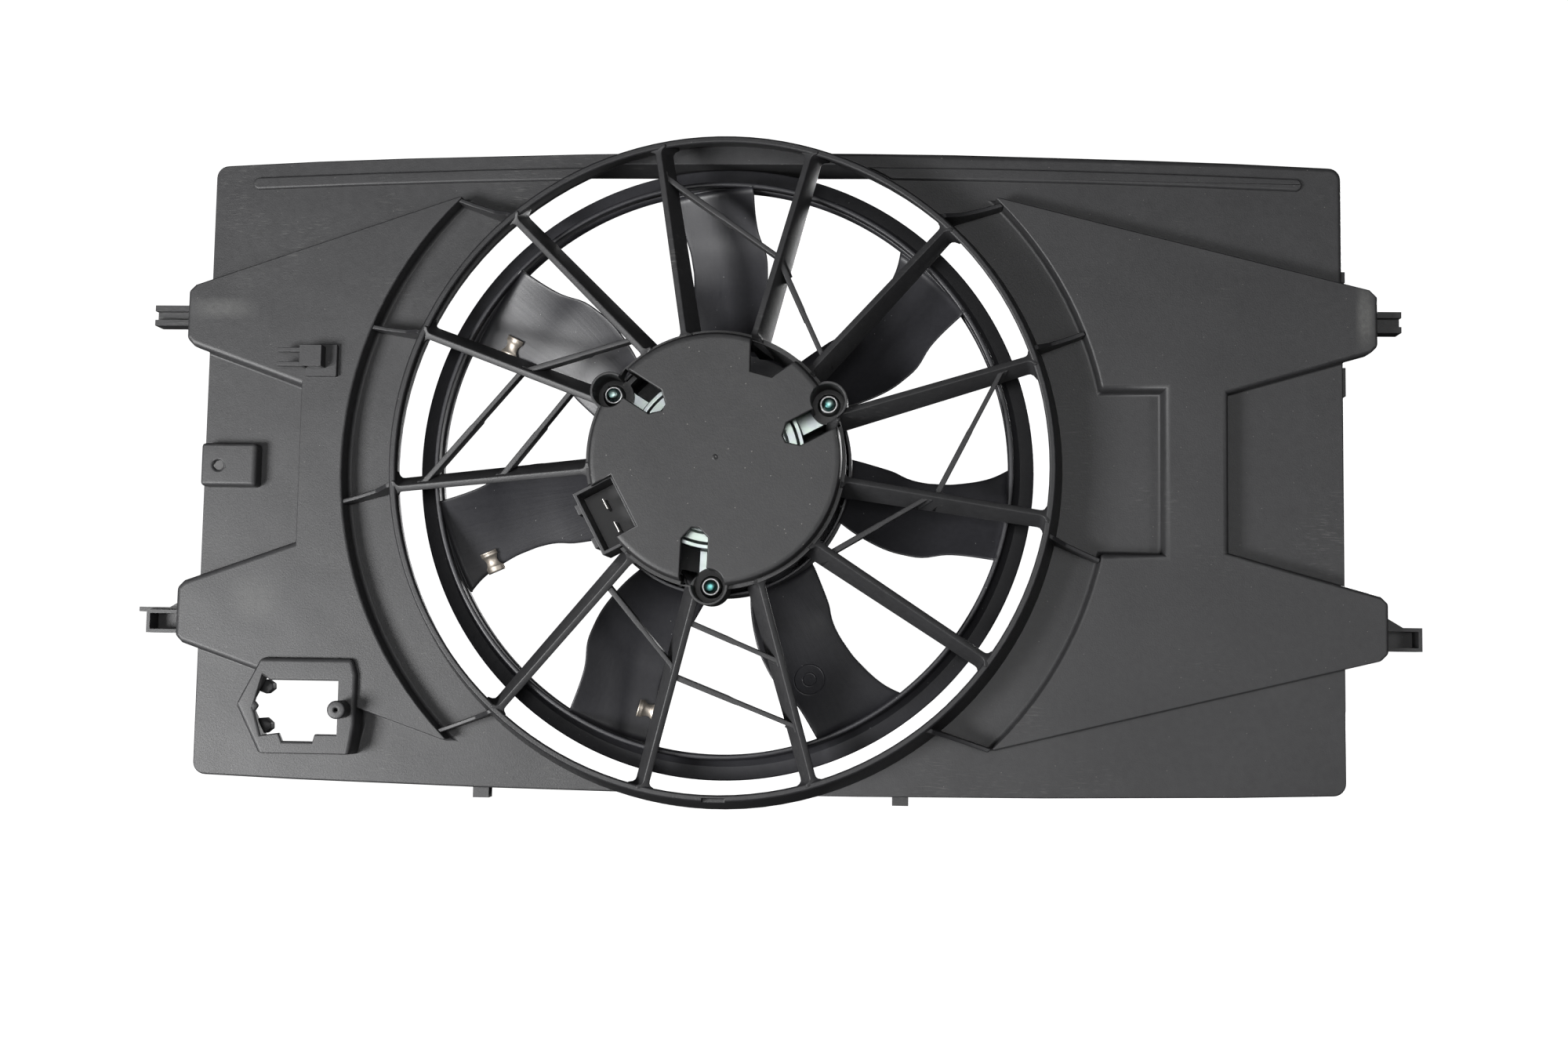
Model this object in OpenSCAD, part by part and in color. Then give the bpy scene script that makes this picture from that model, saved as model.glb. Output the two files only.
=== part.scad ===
// Engine cooling fan with its shroud. Lengths are in millimetres.
// Each sub-part is drawn with z pointing to the engine and the fan axis at x = y = 0.
// upright() then turns it, so that +Z is up and the engine side faces -Y.

/* [Shroud panel] */
// Width of the panel
panel_w = 640; // [620:1:660]
// Height of the panel at its corners
panel_h = 349; // [345:0.5:353]
// How far the middle of the panel lies to the right of the fan axis
panel_shift = 23; // [18:1:28]
// Depth of the skirt, from the radiator rim to the face of the panel
panel_d = 30; // [27:0.5:31]
// Thickness of the moulded walls
wall = 3; // [2.4:0.1:3.4]
// Rise of the top edge between its corners
top_bow = 8; // [6:0.5:9]
// Drop of the bottom edge between its corners
bottom_bow = 5.5; // [4:0.5:6.5]
// Radius of the panel's corners
corner_r = 7; // [5:0.5:10]
// Width of the stiffening bead along the top
bead_w = 7; // [5:0.5:9]
// Height of the stiffening bead
bead_h = 2; // [1:0.25:3]

/* [Raised arms] */
// How far the arms rise above the panel
arm_rise = 12; // [9:0.5:13]
// Height of each arm's outer end
arm_end_h = 35; // [31:0.5:38]
// Distance of each arm's middle line from the fan axis, up or down
arm_y = 84; // [82:0.5:86]
// How far the left arms reach past the panel's side
left_reach = 9; // [7:0.5:11]
// How far the upper right arm reaches past the panel's side
right_reach_high = 16; // [13:0.5:18]
// How far the lower right arm reaches past the panel's side
right_reach_low = 20; // [16:0.5:22]
// Depth of the arm ends below the panel's face
arm_drop = 18; // [14:0.5:20]
// Distance of the left arms' shoulder from the panel's left side
left_shoulder = 58; // [54:0.5:62]
// Distance of the right arms' shoulder from the panel's right side
right_shoulder = 65; // [60:0.5:70]
// Half of the height between the shoulders
shoulder_half = 44; // [41:0.5:46]
// Width of the round recess about the ring's foot
recess_w = 25; // [21:0.5:28]
// Width of the relief to the right of the recess
relief_w = 29; // [24:0.5:33]
// Half of the height of that relief
relief_half = 45; // [40:0.5:50]

/* [Guard ring] */
// How far the ring's lip stands out beyond half of the panel's height
ring_over = 8.2; // [7:0.1:9.5]
// How much wider the ring is at its foot
ring_draft = 6.3; // [5:0.1:7]
// Thickness of the ring
ring_wall = 3.8; // [3:0.1:4.2]
// Height of the ring's front lip above the rim plane
ring_z = 59; // [58:0.25:61]
// Thickness of the gussets between ring and arms
gusset_t = 2.4; // [2:0.1:3.4]
// Depth of the flat closing strip left across the top of the opening
strip_drop = 7; // [5:0.25:7.5]

/* [Stator vanes] */
// Thickness of each slanted vane
vane_t = 3.8; // [2.6:0.1:4.2]
// Depth of a vane at the motor carrier
vane_hub_d = 17; // [14:0.5:18]
// Depth of a vane at the ring
vane_rim_d = 13; // [9:0.25:13.5]
// Lean of the vanes about their front edges
vane_lean = 26; // [12:1:28]
// Height of a vane's front edge at the motor carrier
vane_hub_z = 80; // [78:0.25:81]
// Thickness of the cross braces
brace_t = 3; // [2:0.1:3.4]
// Depth of the cross braces
brace_d = 9; // [6:0.5:10]

/* [Motor carrier] */
// Height of the carrier disc's face above the rim plane
disc_z = 89; // [88:0.25:91]
// Radius of the disc
disc_r = 67.5; // [66.5:0.1:68]
// Radius of the step below the disc
step_r = 69.5; // [69:0.1:70.5]
// Outer radius of the carrier's tapering skirt at its foot
skirt_r = 66.5; // [66:0.1:67.5]
// Outer radius of each nut well
well_r = 10.4; // [10:0.1:11]
// Bore radius of each nut well
well_bore = 8.9; // [8.4:0.1:9.2]
// Distance of the studs from the fan axis
stud_pcd_r = 67.5; // [67:0.1:68]
// Direction of the first stud, from the right-hand side
stud_angle = 28; // [26:0.5:30]

/* [Motor] */
// Outer radius of the motor can
can_r = 48; // [46:0.25:49]
// Length of the can
can_l = 47; // [46:0.25:48]
// Radius of the shaft
shaft_r = 4; // [3.5:0.1:4.5]
// Running clearance between shaft and bearings
bearing_gap = 0.03; // [0.02:0.01:0.08]
// Radius of the stud shanks
stud_r = 3; // [2.6:0.1:3.2]
// Width of the flange nuts across their flats
nut_af = 10; // [9.5:0.1:11]

/* [Fan wheel] */
// Number of blades
blades = 7; // [5:1:9]
// Radius of the hub
hub_r = 72.2; // [71.4:0.1:73]
// Height of the hub's open rim above the rim plane
hub_rim_z = 52; // [50:0.5:53]
// Thickness of the hub's wall
hub_wall = 1.9; // [1.6:0.1:2.6]
// Air gap between the band's flange and the ring's foot
flange_gap = 11.6; // [11.4:0.1:14]
// Thickness of the band
band_wall = 2.1; // [1.6:0.1:2.4]
// Length of the band
band_l = 24; // [22:0.25:24.5]
// How far the band's rear flange stands out
flange_w = 13; // [9:0.25:14]
// Axial height of a blade at the hub
blade_hub_h = 25; // [20:0.5:26]
// Axial height of a blade at the band
blade_tip_h = 18; // [14:0.5:19]
// Thickness of a blade at mid chord
blade_t = 2.6; // [2:0.1:3.2]
// Camber height of a blade
blade_camber = 3; // [1:0.25:4]

/* [Hidden] */
$fn = 96;
eps = 0.01;

// Panel
panel_drop = 0.75;
left_x = panel_shift - panel_w / 2;
right_x = panel_shift + panel_w / 2;
top_y = panel_h / 2 - panel_drop;
bottom_y = -panel_h / 2 - panel_drop;
bow_steps = 12;
corner_step = 15;
bead_inset = 12;
bead_half = 295;
arm_z = panel_d + arm_rise;
end_chamfer = 4;
recess_r = panel_h / 2 + ring_over + ring_draft + recess_w;
nose_r = recess_r + 2;
// Pegs: length of each, and the web and bars of the upper ones
peg_z = panel_d - 10;
peg_l = 22;
upper_peg_l = [25, 17];
bar_t = 3.4;
bar_h = 12;
box_peg = [13, 14];
// Foot places along the bottom edge, and the ribs on the right side as [height, length]
foot_x = [-139, 96.5];
foot_z = 12;
side_ribs = [[45, 16], [109, 6]];
// Side tab and module seat
tab_w = 32;
tab_h = 24.5;
tab_y = -13;
tab_rise = 9;
tab_bore = 2.8;
seat_z = panel_d + 16;
// Seat, window and screw are placed from the panel's lower left corner
seat_outline = [
    [29, 39.75], [42.5, 66.25], [94, 66.25], [96.5, 57.25], [96.5, 29.25], [94, 13.25], [42.5, 13.25]
];
window_outline = [
    [39, 39.75], [43.5, 56.25], [48, 53.75], [86.5, 53.75], [86.5, 24.25],
    [74, 24.25], [73, 20.25], [56, 20.25], [54, 24.75], [44, 23.25]
];
screw_at = [left_x + 89.5, bottom_y + 38.25];
screw_bore = 1.7;
screw_boss_r = 4.6;
screw_boss_l = 15;
// Corner of the harness clip's pad
harness_at = [-recess_r - 22, 49];
// Ring
ring_r = panel_h / 2 + ring_over;
ring_foot_r = ring_r + ring_draft;
opening_r = ring_foot_r - ring_wall;
ring_bore_r = ring_r - ring_wall;
strip_y = top_y + top_bow - strip_drop;
lip = 0.8;
lip_z = ring_z - lip;
gusset_in = [130.4, 156.5, 184, 228.5, 308.5, 348.5, 21, 49.5];
gusset_out = [135.5, 158.8, 185.8, 223.5, 314.5, 346.6, 21, 43.7];
gusset_gap = 0.2;
notch_w = 12.5;
notch_d = 4;
// Vanes: the angle of each at the carrier and at the ring
vane_angles = [
    [22, 19.5], [44.5, 47.5], [74, 75], [106, 102], [124, 131], [154, 157],
    [186, 185], [231, 229], [264, 258], [292, 287.5], [321, 325], [352, 352]
];
vane_rim_z = ring_z - lip;
// Braces: the vane that each end meets, and its place there as a share of the way to the ring
brace_ends = [
    [[3, 0.873], [2, 0.434]], [[2, 0.434], [1, 0.096]], [[5, 0.452], [4, 0.105]],
    [[6, 0.882], [5, 0.452]], [[6, 0.462], [5, 0.169]], [[7, 0.178], [8, 0.416]],
    [[8, 0.169], [9, 0.407]], [[8, 0.443], [9, 0.736]], [[10, 0.087], [11, 0.434]],
    [[11, 0.452], [0, 0.864]]
];
brace_set = 2;
// Carrier: ear_top is where its wells stand on the motor's ears
ear_top = 61;
skirt_z = ear_top + 0.5;
skirt_top = disc_z - 16;
well_floor = 3;
nut_z = ear_top + well_floor;
well_z = disc_z - 4;
skin = 2.6;
side_window = [[0, 1], [25, 1], [30, 6], [30, 10], [24, 15], [0, 15]];
face_window = [[18.3, 75], [18.3, 46.4], [29.6, 43.4], [50, 58]];
// Connector, in a frame turned by connector_angle
connector_angle = stud_angle + 180;
connector_r = 64.4;
connector_w = 24;
connector_l = 37;
connector_z = 56;
connector_h = 27;
connector_gap = 0.6;
connector_wall = 2;
connector_floor = 6;
key_y = [-13, 7];
notch_in_carrier = [53, -17, 30];
terminal_y = [-7, 7];
terminal_w = 6.4;
terminal_t = 0.8;
terminal_l = 18;
// Motor
can_z = 28;
can_wall = 2;
can_top = can_z + can_l;
ear_t = 3;
ear_z = ear_top - ear_t;
ear_w = 16;
nose_r_motor = 11;
nose_l = 3.5;
plate_t = 2;
rear_nose_r = 10;
rear_nose_l = 5;
bush_r = 8;
rear_bush_r = 7;
bush_l = 8;
magnet_t = 5.8;
air_gap = 1;
core_r = can_r - can_wall - magnet_t - air_gap;
core_z = can_z + 8;
core_l = 24;
slots = 12;
comm_r = 12;
comm_z = can_top - 13;
comm_l = 10;
card_z = can_top - 2;
card_t = 1.8;
brush_z = comm_z + 4;
brush_h = 5;
brush_l = 13;
holder_w = 10;
holder_l = 24;
spring_r = 2.1;
spring_l = 12;
nut_h = 6;
nut_flange_r = 6.1;
// Fan wheel
hub_z = 12;
hub_boss_r = 11;
hub_boss_l = 12;
// Small upright ribs inside the hub's rim
hub_ribs = 20;
hub_rib_r = 1.6;
hub_rib_drop = 6;
band_outer = opening_r - flange_gap - flange_w;
band_r = band_outer - band_wall;
band_z = 20;
blade_mid_z = 33;
blade_start = -1.2;
blade_stations = 12;
chord_steps = 8;
blade_root_r = hub_r - 0.3;
blade_tip_r = band_r + 0.3;
// Sweep of the leading and trailing edges in degrees, from hub to band in equal steps
lead_sweep = [7, 1.8, -1.9, -1.2, 1.7];
trail_sweep = [-23, -25, -23.4, -18.8, -16.9];
clip_r = band_r - 17.5;
clip_blades = [3, 4, 5];

// End of an arm: side is -1 or 1 for left or right, and up is -1 or 1 for lower or upper
function arm_tip(side, up) =
    side < 0 ? left_x - left_reach : right_x + (up < 0 ? right_reach_low : right_reach_high);

function polar(r, a) = [r * cos(a), r * sin(a)];
function bow_radius(b) = (pow(panel_w / 2, 2) + b * b) / (2 * b);
function bow(b, x) = sqrt(pow(bow_radius(b), 2) - x * x) - bow_radius(b) + b;
// Height of the vanes' front edges at radius r
function vane_front(r) =
    vane_hub_z + (vane_rim_z - vane_hub_z) * (r - step_r) / (ring_bore_r - step_r);

// Ends of a vane's front edge in plan, and the point on it at radius r
function vane_start(i) = polar(step_r - 5, vane_angles[i][0]);
function vane_end(i) = polar(ring_foot_r, vane_angles[i][1]);
function vane_point(i, r) =
    vane_start(i) + (vane_end(i) - vane_start(i)) * (r - step_r + 5) / (ring_foot_r - step_r + 5);

// Smooth curve through equal steps of the list p, for t from 0 to 1
function smooth(p, t) =
    let (n = len(p) - 1, i = min(floor(t * n), n - 1), u = t * n - i,
        a = p[max(i - 1, 0)], b = p[i], c = p[i + 1], d = p[min(i + 2, n)])
    b + u * (c - a) / 2 + u * u * (a - 2.5 * b + 2 * c - d / 2)
    + u * u * u * (1.5 * (b - c) + (d - a) / 2);

module upright() {
    rotate([90, 0, 0]) children();
}

// Outline of the panel, moved in by inset
function panel_points(inset) =
    let (w = panel_w / 2 - corner_r, h = panel_h / 2 - corner_r, r = corner_r - inset)
    concat(
        [for (a = [0:corner_step:90]) [w, h] + polar(r, a)],
        [for (k = [1:bow_steps - 1]) let (x = w * (1 - 2 * k / bow_steps))
            [x, panel_h / 2 - inset + bow(top_bow, x)]],
        [for (a = [90:corner_step:180]) [-w, h] + polar(r, a)],
        [for (a = [180:corner_step:270]) [-w, -h] + polar(r, a)],
        [for (k = [1:bow_steps - 1]) let (x = -w * (1 - 2 * k / bow_steps))
            [x, -panel_h / 2 + inset - bow(bottom_bow, x)]],
        [for (a = [270:corner_step:360]) [w, -h] + polar(r, a)]
    );

module panel_outline(inset = 0) {
    translate([panel_shift, -panel_drop]) polygon(panel_points(inset));
}

// One side's pair of arms, from the upper nose round the ends to the lower nose
module arm_outline(side) {
    edge = side < 0 ? left_x : right_x;
    shoulder = edge - side * (side < 0 ? left_shoulder : right_shoulder);
    lower = arm_points(side, -1, shoulder);
    polygon(concat(arm_points(side, 1, shoulder), [for (i = [len(lower) - 1:-1:0]) lower[i]]));
}

function arm_points(side, up, shoulder) =
    let (tip = arm_tip(side, up), nose = nose_r * sqrt(0.5), chamfer = side * end_chamfer,
        high = arm_y + arm_end_h / 2, low = arm_y - arm_end_h / 2)
    [
        [0, up * nose], [side * nose, up * nose], [tip - chamfer, up * high],
        [tip, up * (high - end_chamfer)], [tip, up * (low + end_chamfer)], [tip - chamfer, up * low],
        [shoulder, up * shoulder_half]
    ];

module raised_plan() {
    difference() {
        union() {
            arm_outline(-1);
            arm_outline(1);
        }
        circle(r = recess_r);
        translate([0, -relief_half]) square([recess_r + relief_w, 2 * relief_half]);
    }
}

// A bar from point p to point q, seen from the side as the polygon pts
module side_bar(p, q, t, pts) {
    d = q - p;
    translate([p.x, p.y, 0]) rotate([0, 0, atan2(d.y, d.x)]) rotate([90, 0, 0])
        translate([0, 0, -t / 2]) linear_extrude(t) polygon(pts);
}

// Long bead with round ends along the bowed top edge
module top_bead() {
    r = bow_radius(top_bow);
    mid_y = top_y + top_bow - r;
    bead_r = r - bead_inset;
    a = asin(bead_half / r);
    translate([panel_shift, mid_y, panel_d - eps]) linear_extrude(bead_h + eps) {
        intersection() {
            difference() {
                circle(r = bead_r + bead_w / 2, $fn = 720);
                circle(r = bead_r - bead_w / 2, $fn = 720);
            }
            polygon([[0, 0], 2 * r * [-sin(a), cos(a)], 2 * r * [sin(a), cos(a)]]);
        }
        for (s = [-1, 1]) translate(bead_r * [s * sin(a), cos(a)]) circle(d = bead_w);
    }
}

module side_tab() {
    translate([left_x + 1, tab_y, panel_d - eps]) cube([tab_w, tab_h, tab_rise + eps]);
}

module module_seat_plan(inset = 0) {
    translate([left_x, bottom_y]) offset(delta = -inset) polygon(seat_outline);
}

// Four pegs that drop into the radiator's brackets
module pegs() {
    upper_peg(arm_tip(-1, 1), -1, upper_peg_l[0]);
    upper_peg(arm_tip(1, 1), 1, upper_peg_l[1]);
    lower_peg(arm_tip(-1, -1), -1);
    lower_peg(arm_tip(1, -1), 1);
}

// Two bars joined by a web
module upper_peg(x, side, l) {
    x0 = side < 0 ? x - l : x - eps;
    y = arm_y + 2.5;
    for (dy = [-4.2, 4.2]) translate([x0, y + dy - bar_t / 2, peg_z - 5]) cube([l + eps, bar_t, bar_h]);
    translate([x0, y - 3, peg_z - 0.5]) cube([l + eps, 6, 3]);
}

// Open box peg with a guide blade or a gusset over it
module lower_peg(x, side) {
    y = -arm_y - 12;
    x0 = side < 0 ? x - peg_l : x - eps;
    translate([x0, y, peg_z - 6]) difference() {
        cube([peg_l + eps, box_peg.x, box_peg.y]);
        translate([2, 2, 2]) cube([peg_l - 4, box_peg.x - 4, box_peg.y]);
    }
    if (side < 0) translate([x - peg_l - 6, y + 12, peg_z - 2]) cube([peg_l + 6 + eps, 2.6, 6]);
    translate([x, 0, peg_z]) linear_extrude(3)
        polygon([[-side * eps, y + 12], [side * (peg_l - 7), y + 12], [-side * eps, y + 21]]);
}

// Clip for the wiring harness, on the upper left arm
module harness_clip() {
    translate([harness_at.x, harness_at.y, arm_z - eps]) {
        cube([18, 18, 3]);
        translate([-1, 4.5, 0]) difference() {
            cube([12.5, 12, 11]);
            translate([2, -1, 4]) cube([8.5, 14, 5]);
        }
        for (y = [4.5, 12.5]) translate([-14, y, 7]) cube([13 + eps, 2.5, 3]);
    }
}

module bottom_feet() {
    for (x = foot_x) translate([x, bottom_y - bottom_bow - 5, foot_z]) cube([9, 7.5, 9]);
}

module shroud_panel() {
    color([0.17, 0.17, 0.18]) upright() difference() {
        union() {
            difference() {
                panel_body();
                panel_hollows();
            }
            translate([screw_at.x, screw_at.y, seat_z - wall]) cylinder(r = screw_boss_r, h = screw_boss_l);
        }
        translate([screw_at.x, screw_at.y, seat_z - wall - 1])
            cylinder(r = screw_bore, h = screw_boss_l + 2);
    }
}

module panel_body() {
    linear_extrude(panel_d) panel_outline();
    // Bulge below the panel that follows the ring
    intersection() {
        cylinder(r = ring_foot_r, h = panel_d);
        translate([-ring_foot_r, -ring_foot_r, 0]) cube([2 * ring_foot_r, ring_foot_r / 2, panel_d]);
    }
    // Ledge above the panel that carries the ring's top
    translate([0, 0, panel_d - wall]) cylinder(r = ring_foot_r, h = wall);
    translate([0, 0, panel_d - eps]) linear_extrude(arm_rise + eps) raised_plan();
    arm_ends();
    pegs();
    side_tab();
    translate([0, 0, panel_d - eps]) linear_extrude(seat_z - panel_d + eps) module_seat_plan();
    harness_clip();
    difference() {
        top_bead();
        cylinder(r = ring_foot_r + 1, h = 2 * panel_d);
    }
    bottom_feet();
    for (rib = side_ribs) translate([right_x - eps, rib[0], panel_d - 12]) cube([2.5, rib[1], 8]);
}

module panel_hollows() {
    back = panel_d - wall;
    // Plenum behind the panel, below and above the closing strip
    translate([0, 0, -1]) linear_extrude(back + 1) difference() {
        panel_outline(wall);
        translate([-opening_r, strip_y]) square([2 * opening_r, panel_h]);
    }
    translate([0, 0, -1]) linear_extrude(back + 1) intersection() {
        panel_outline(wall);
        translate([-panel_w, strip_y + wall]) square([2 * panel_w, panel_h]);
    }
    // Air opening, closed by the strip at the top
    difference() {
        translate([0, 0, -1]) cylinder(r = opening_r, h = 2 * panel_d);
        translate([-opening_r, strip_y, -2]) cube([2 * opening_r, panel_h, 3 * panel_d]);
    }
    // Hollow inside the raised arms
    translate([0, 0, back - 1]) linear_extrude(arm_rise + 1) intersection() {
        offset(delta = -wall) raised_plan();
        panel_outline(wall);
    }
    // Module seat, open behind
    translate([0, 0, back - 1]) linear_extrude(seat_z - panel_d + 1) module_seat_plan(wall);
    translate([0, 0, -1]) linear_extrude(seat_z + 2)
        translate([left_x, bottom_y]) polygon(window_outline);
    // Side tab: hollow with one fixing hole
    translate([left_x + 1 + wall, tab_y + wall, back - 1])
        cube([tab_w - 2 * wall, tab_h - 2 * wall, tab_rise + 1]);
    translate([left_x + 11, -1, panel_d]) cylinder(r = tab_bore, h = 20);
}

// The parts of the arms that hang over the panel's sides, hollow behind
module arm_ends() {
    h = arm_end_h - 2 * end_chamfer;
    for (side = [-1, 1], up = [-1, 1]) {
        edge = side < 0 ? left_x : right_x;
        reach = abs(arm_tip(side, up) - edge);
        x0 = side < 0 ? edge - reach : edge - eps;
        hollow_x = side < 0 ? wall : -1;
        translate([x0, up * arm_y - h / 2, panel_d - arm_drop]) difference() {
            cube([reach + eps, h, arm_drop + eps]);
            translate([hollow_x, wall, -1]) cube([reach - wall + 1, h - 2 * wall, arm_drop - wall + 1]);
        }
    }
}

module guard_ring() {
    color([0.15, 0.15, 0.16]) upright() difference() {
        union() {
            rotate_extrude($fn = 180) polygon([
                [opening_r, panel_d], [ring_foot_r, panel_d], [ring_r, lip_z],
                [ring_r - lip, ring_z], [ring_bore_r + lip, ring_z], [ring_bore_r, lip_z]
            ]);
            intersection() {
                for (i = [0:len(gusset_in) - 1]) gusset(gusset_in[i], gusset_out[i]);
                cylinder(r = recess_r - gusset_gap, h = ring_z, $fn = 180);
            }
        }
        // Notch in the lip at the bottom
        translate([-notch_w / 2, -ring_r - 4, ring_z - notch_d]) cube([notch_w, 6, notch_d + 1]);
    }
}

// Gusset from inside the ring's wall to the edge of the round recess
module gusset(a_in, a_out) {
    p = polar(ring_r - ring_wall / 2, a_in);
    q = polar(recess_r + gusset_t, a_out);
    l = norm(q - p);
    side_bar(p, q, gusset_t, [
        [ring_draft, panel_d], [l, panel_d], [l, arm_z], [l * 0.7, arm_z + 0.5],
        [l * 0.35, arm_z + 5], [l * 0.12, ring_z - 2.5], [0.3, ring_z - 1.2]
    ]);
}

module vane(i) {
    p = vane_start(i);
    d = vane_end(i) - p;
    run = norm(d);
    drop = vane_front(step_r - 5) - vane_front(ring_foot_r);
    l = norm([run, drop]);
    translate([p.x, p.y, vane_front(step_r - 5)]) rotate([0, 0, atan2(d.y, d.x)])
        rotate([0, atan2(drop, run), 0]) rotate([90 - vane_lean, 0, 0])
        translate([0, 0, -vane_t / 2]) linear_extrude(vane_t)
        polygon([[0, 0], [l, 0], [l, -vane_rim_d], [0, -vane_hub_d]]);
}

// Space between the carrier and the ring
module vane_zone() {
    low = panel_d + 10;
    foot = ring_bore_r + ring_draft * (lip_z - low) / (lip_z - panel_d);
    rotate_extrude($fn = 180) polygon([
        [skirt_r, low], [foot, low], [ring_bore_r, lip_z],
        [ring_bore_r, disc_z], [step_r, disc_z], [step_r, skirt_top], [skirt_r, skirt_z]
    ]);
}

module vane_set() {
    difference() {
        intersection() {
            union() for (i = [0:len(vane_angles) - 1]) vane(i);
            vane_zone();
        }
        well_places() translate([0, 0, ear_top]) cylinder(r = well_r, h = disc_z);
    }
}

module stator_vanes() {
    color([0.16, 0.16, 0.17]) upright() vane_set();
}

// How far along the brace direction u the leaning vane i lies from its front edge, at depth d
function lean_shift(u, i, d) =
    let (v = vane_end(i) - vane_start(i), side = [-v.y, v.x] / norm(v))
    -d * tan(vane_lean) / (u * side);

module brace(ends) {
    i = ends[0][0];
    j = ends[1][0];
    rp = step_r + (ring_bore_r - step_r) * ends[0][1];
    rq = step_r + (ring_bore_r - step_r) * ends[1][1];
    p = vane_point(i, rp);
    q = vane_point(j, rq);
    zp = vane_front(rp) - brace_set;
    zq = vane_front(rq) - brace_set;
    l = norm(q - p);
    u = (q - p) / l;
    low = brace_set + brace_d;
    side_bar(p, q, brace_t, [
        [lean_shift(u, i, low), zp - brace_d], [l + lean_shift(u, j, low), zq - brace_d],
        [l + lean_shift(u, j, brace_set), zq], [lean_shift(u, i, brace_set), zp]
    ]);
}

module cross_braces() {
    color([0.18, 0.18, 0.19]) upright() difference() {
        for (e = brace_ends) brace(e);
        vane_set();
    }
}

// Puts its children at the three studs
module well_places() {
    for (k = [0:2]) rotate([0, 0, stud_angle + 120 * k]) translate([stud_pcd_r, 0, 0]) children();
}

module carrier_profile() {
    polygon([
        [0, disc_z], [disc_r - 4, disc_z], [disc_r - 1.2, disc_z - 1], [disc_r, disc_z - 3.5],
        [disc_r, disc_z - 8], [step_r, disc_z - 8], [step_r, skirt_top], [skirt_r, skirt_z],
        [skirt_r - skin, skirt_z], [step_r - skin, skirt_top], [step_r - skin, disc_z - 9],
        [disc_r - skin, disc_z - 9],
        [disc_r - skin, disc_z - 4.5], [disc_r - 5, disc_z - skin], [0, disc_z - skin]
    ]);
}

module motor_carrier() {
    color([0.18, 0.18, 0.19]) upright() difference() {
        union() {
            rotate_extrude() carrier_profile();
            well_places() translate([0, 0, ear_top]) cylinder(r = well_r, h = well_z - ear_top);
        }
        // Windows beside the wells, and one near the top, that show the motor
        well_places() translate([0, 0, nut_z]) linear_extrude(disc_z) rotate(180) polygon(side_window);
        translate([0, 0, disc_z - 10]) linear_extrude(20) polygon(face_window);
        well_places() {
            translate([0, 0, nut_z]) cylinder(r = well_bore, h = disc_z);
            translate([0, 0, ear_top - 1]) cylinder(r = stud_r + 0.3, h = disc_z);
        }
        connector_recess();
    }
}

// Space in the carrier for the connector and its cable side
module connector_recess() {
    w = connector_l + 2 * connector_gap;
    rotate([0, 0, connector_angle]) {
        translate([connector_r - connector_w / 2 - connector_gap, -w / 2, ear_top - 1])
            cube([connector_w * 2, w, connector_z + connector_h + connector_gap - ear_top + 1]);
        translate([notch_in_carrier[0], notch_in_carrier[1], ear_top])
            cube([disc_r, notch_in_carrier[2], disc_z]);
    }
}

module motor_can() {
    color([0.66, 0.67, 0.68]) upright() difference() {
        union() {
            translate([0, 0, can_z]) cylinder(r = can_r, h = can_l);
            translate([0, 0, can_z - nose_l]) cylinder(r = nose_r_motor, h = nose_l + eps);
            well_places() translate([0, 0, ear_z]) cylinder(r = ear_w / 2, h = ear_t);
            for (k = [0:2]) rotate([0, 0, stud_angle + 120 * k])
                translate([can_r - 2, -ear_w / 2, ear_z]) cube([stud_pcd_r - can_r + 2, ear_w, ear_t]);
        }
        translate([0, 0, can_z + can_wall]) cylinder(r = can_r - can_wall, h = can_l);
        translate([0, 0, can_z - nose_l - 1]) cylinder(r = shaft_r + 1, h = 20);
        translate([0, 0, can_z - nose_l + 1]) cylinder(r = bush_r, h = 20);
        well_places() translate([0, 0, ear_z - 1]) cylinder(r = stud_r, h = ear_t + 2);
    }
}

module field_magnets() {
    span = 70;
    color([0.25, 0.25, 0.27]) upright() for (k = [0:3])
        rotate([0, 0, 90 * k]) translate([0, 0, core_z - 3]) linear_extrude(core_l + 6) intersection() {
            difference() {
                circle(r = can_r - can_wall);
                circle(r = can_r - can_wall - magnet_t);
            }
            polygon([[0, 0], polar(2 * can_r, -span / 2), polar(2 * can_r, span / 2)]);
        }
}

module motor_end_plate() {
    color([0.76, 0.77, 0.78]) upright() difference() {
        rotate_extrude() polygon([
            [rear_bush_r, can_top], [can_r, can_top], [can_r, can_top + plate_t + 1],
            [can_r - 2.5, can_top + plate_t + 1], [can_r - 3.5, can_top + plate_t],
            [can_r - 8, can_top + plate_t], [can_r - 9, can_top + plate_t + 1.5],
            [can_r - 14, can_top + plate_t + 1.5], [can_r - 15, can_top + plate_t],
            [rear_nose_r + 1, can_top + plate_t], [rear_nose_r, can_top + plate_t + 1],
            [rear_nose_r, can_top + plate_t + rear_nose_l], [rear_bush_r, can_top + plate_t + rear_nose_l]
        ]);
        for (k = [0:5]) rotate([0, 0, 60 * k + stud_angle + 30])
            translate([22, 0, can_top - 1]) cylinder(r = 3.5, h = plate_t + 2);
    }
}

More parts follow.
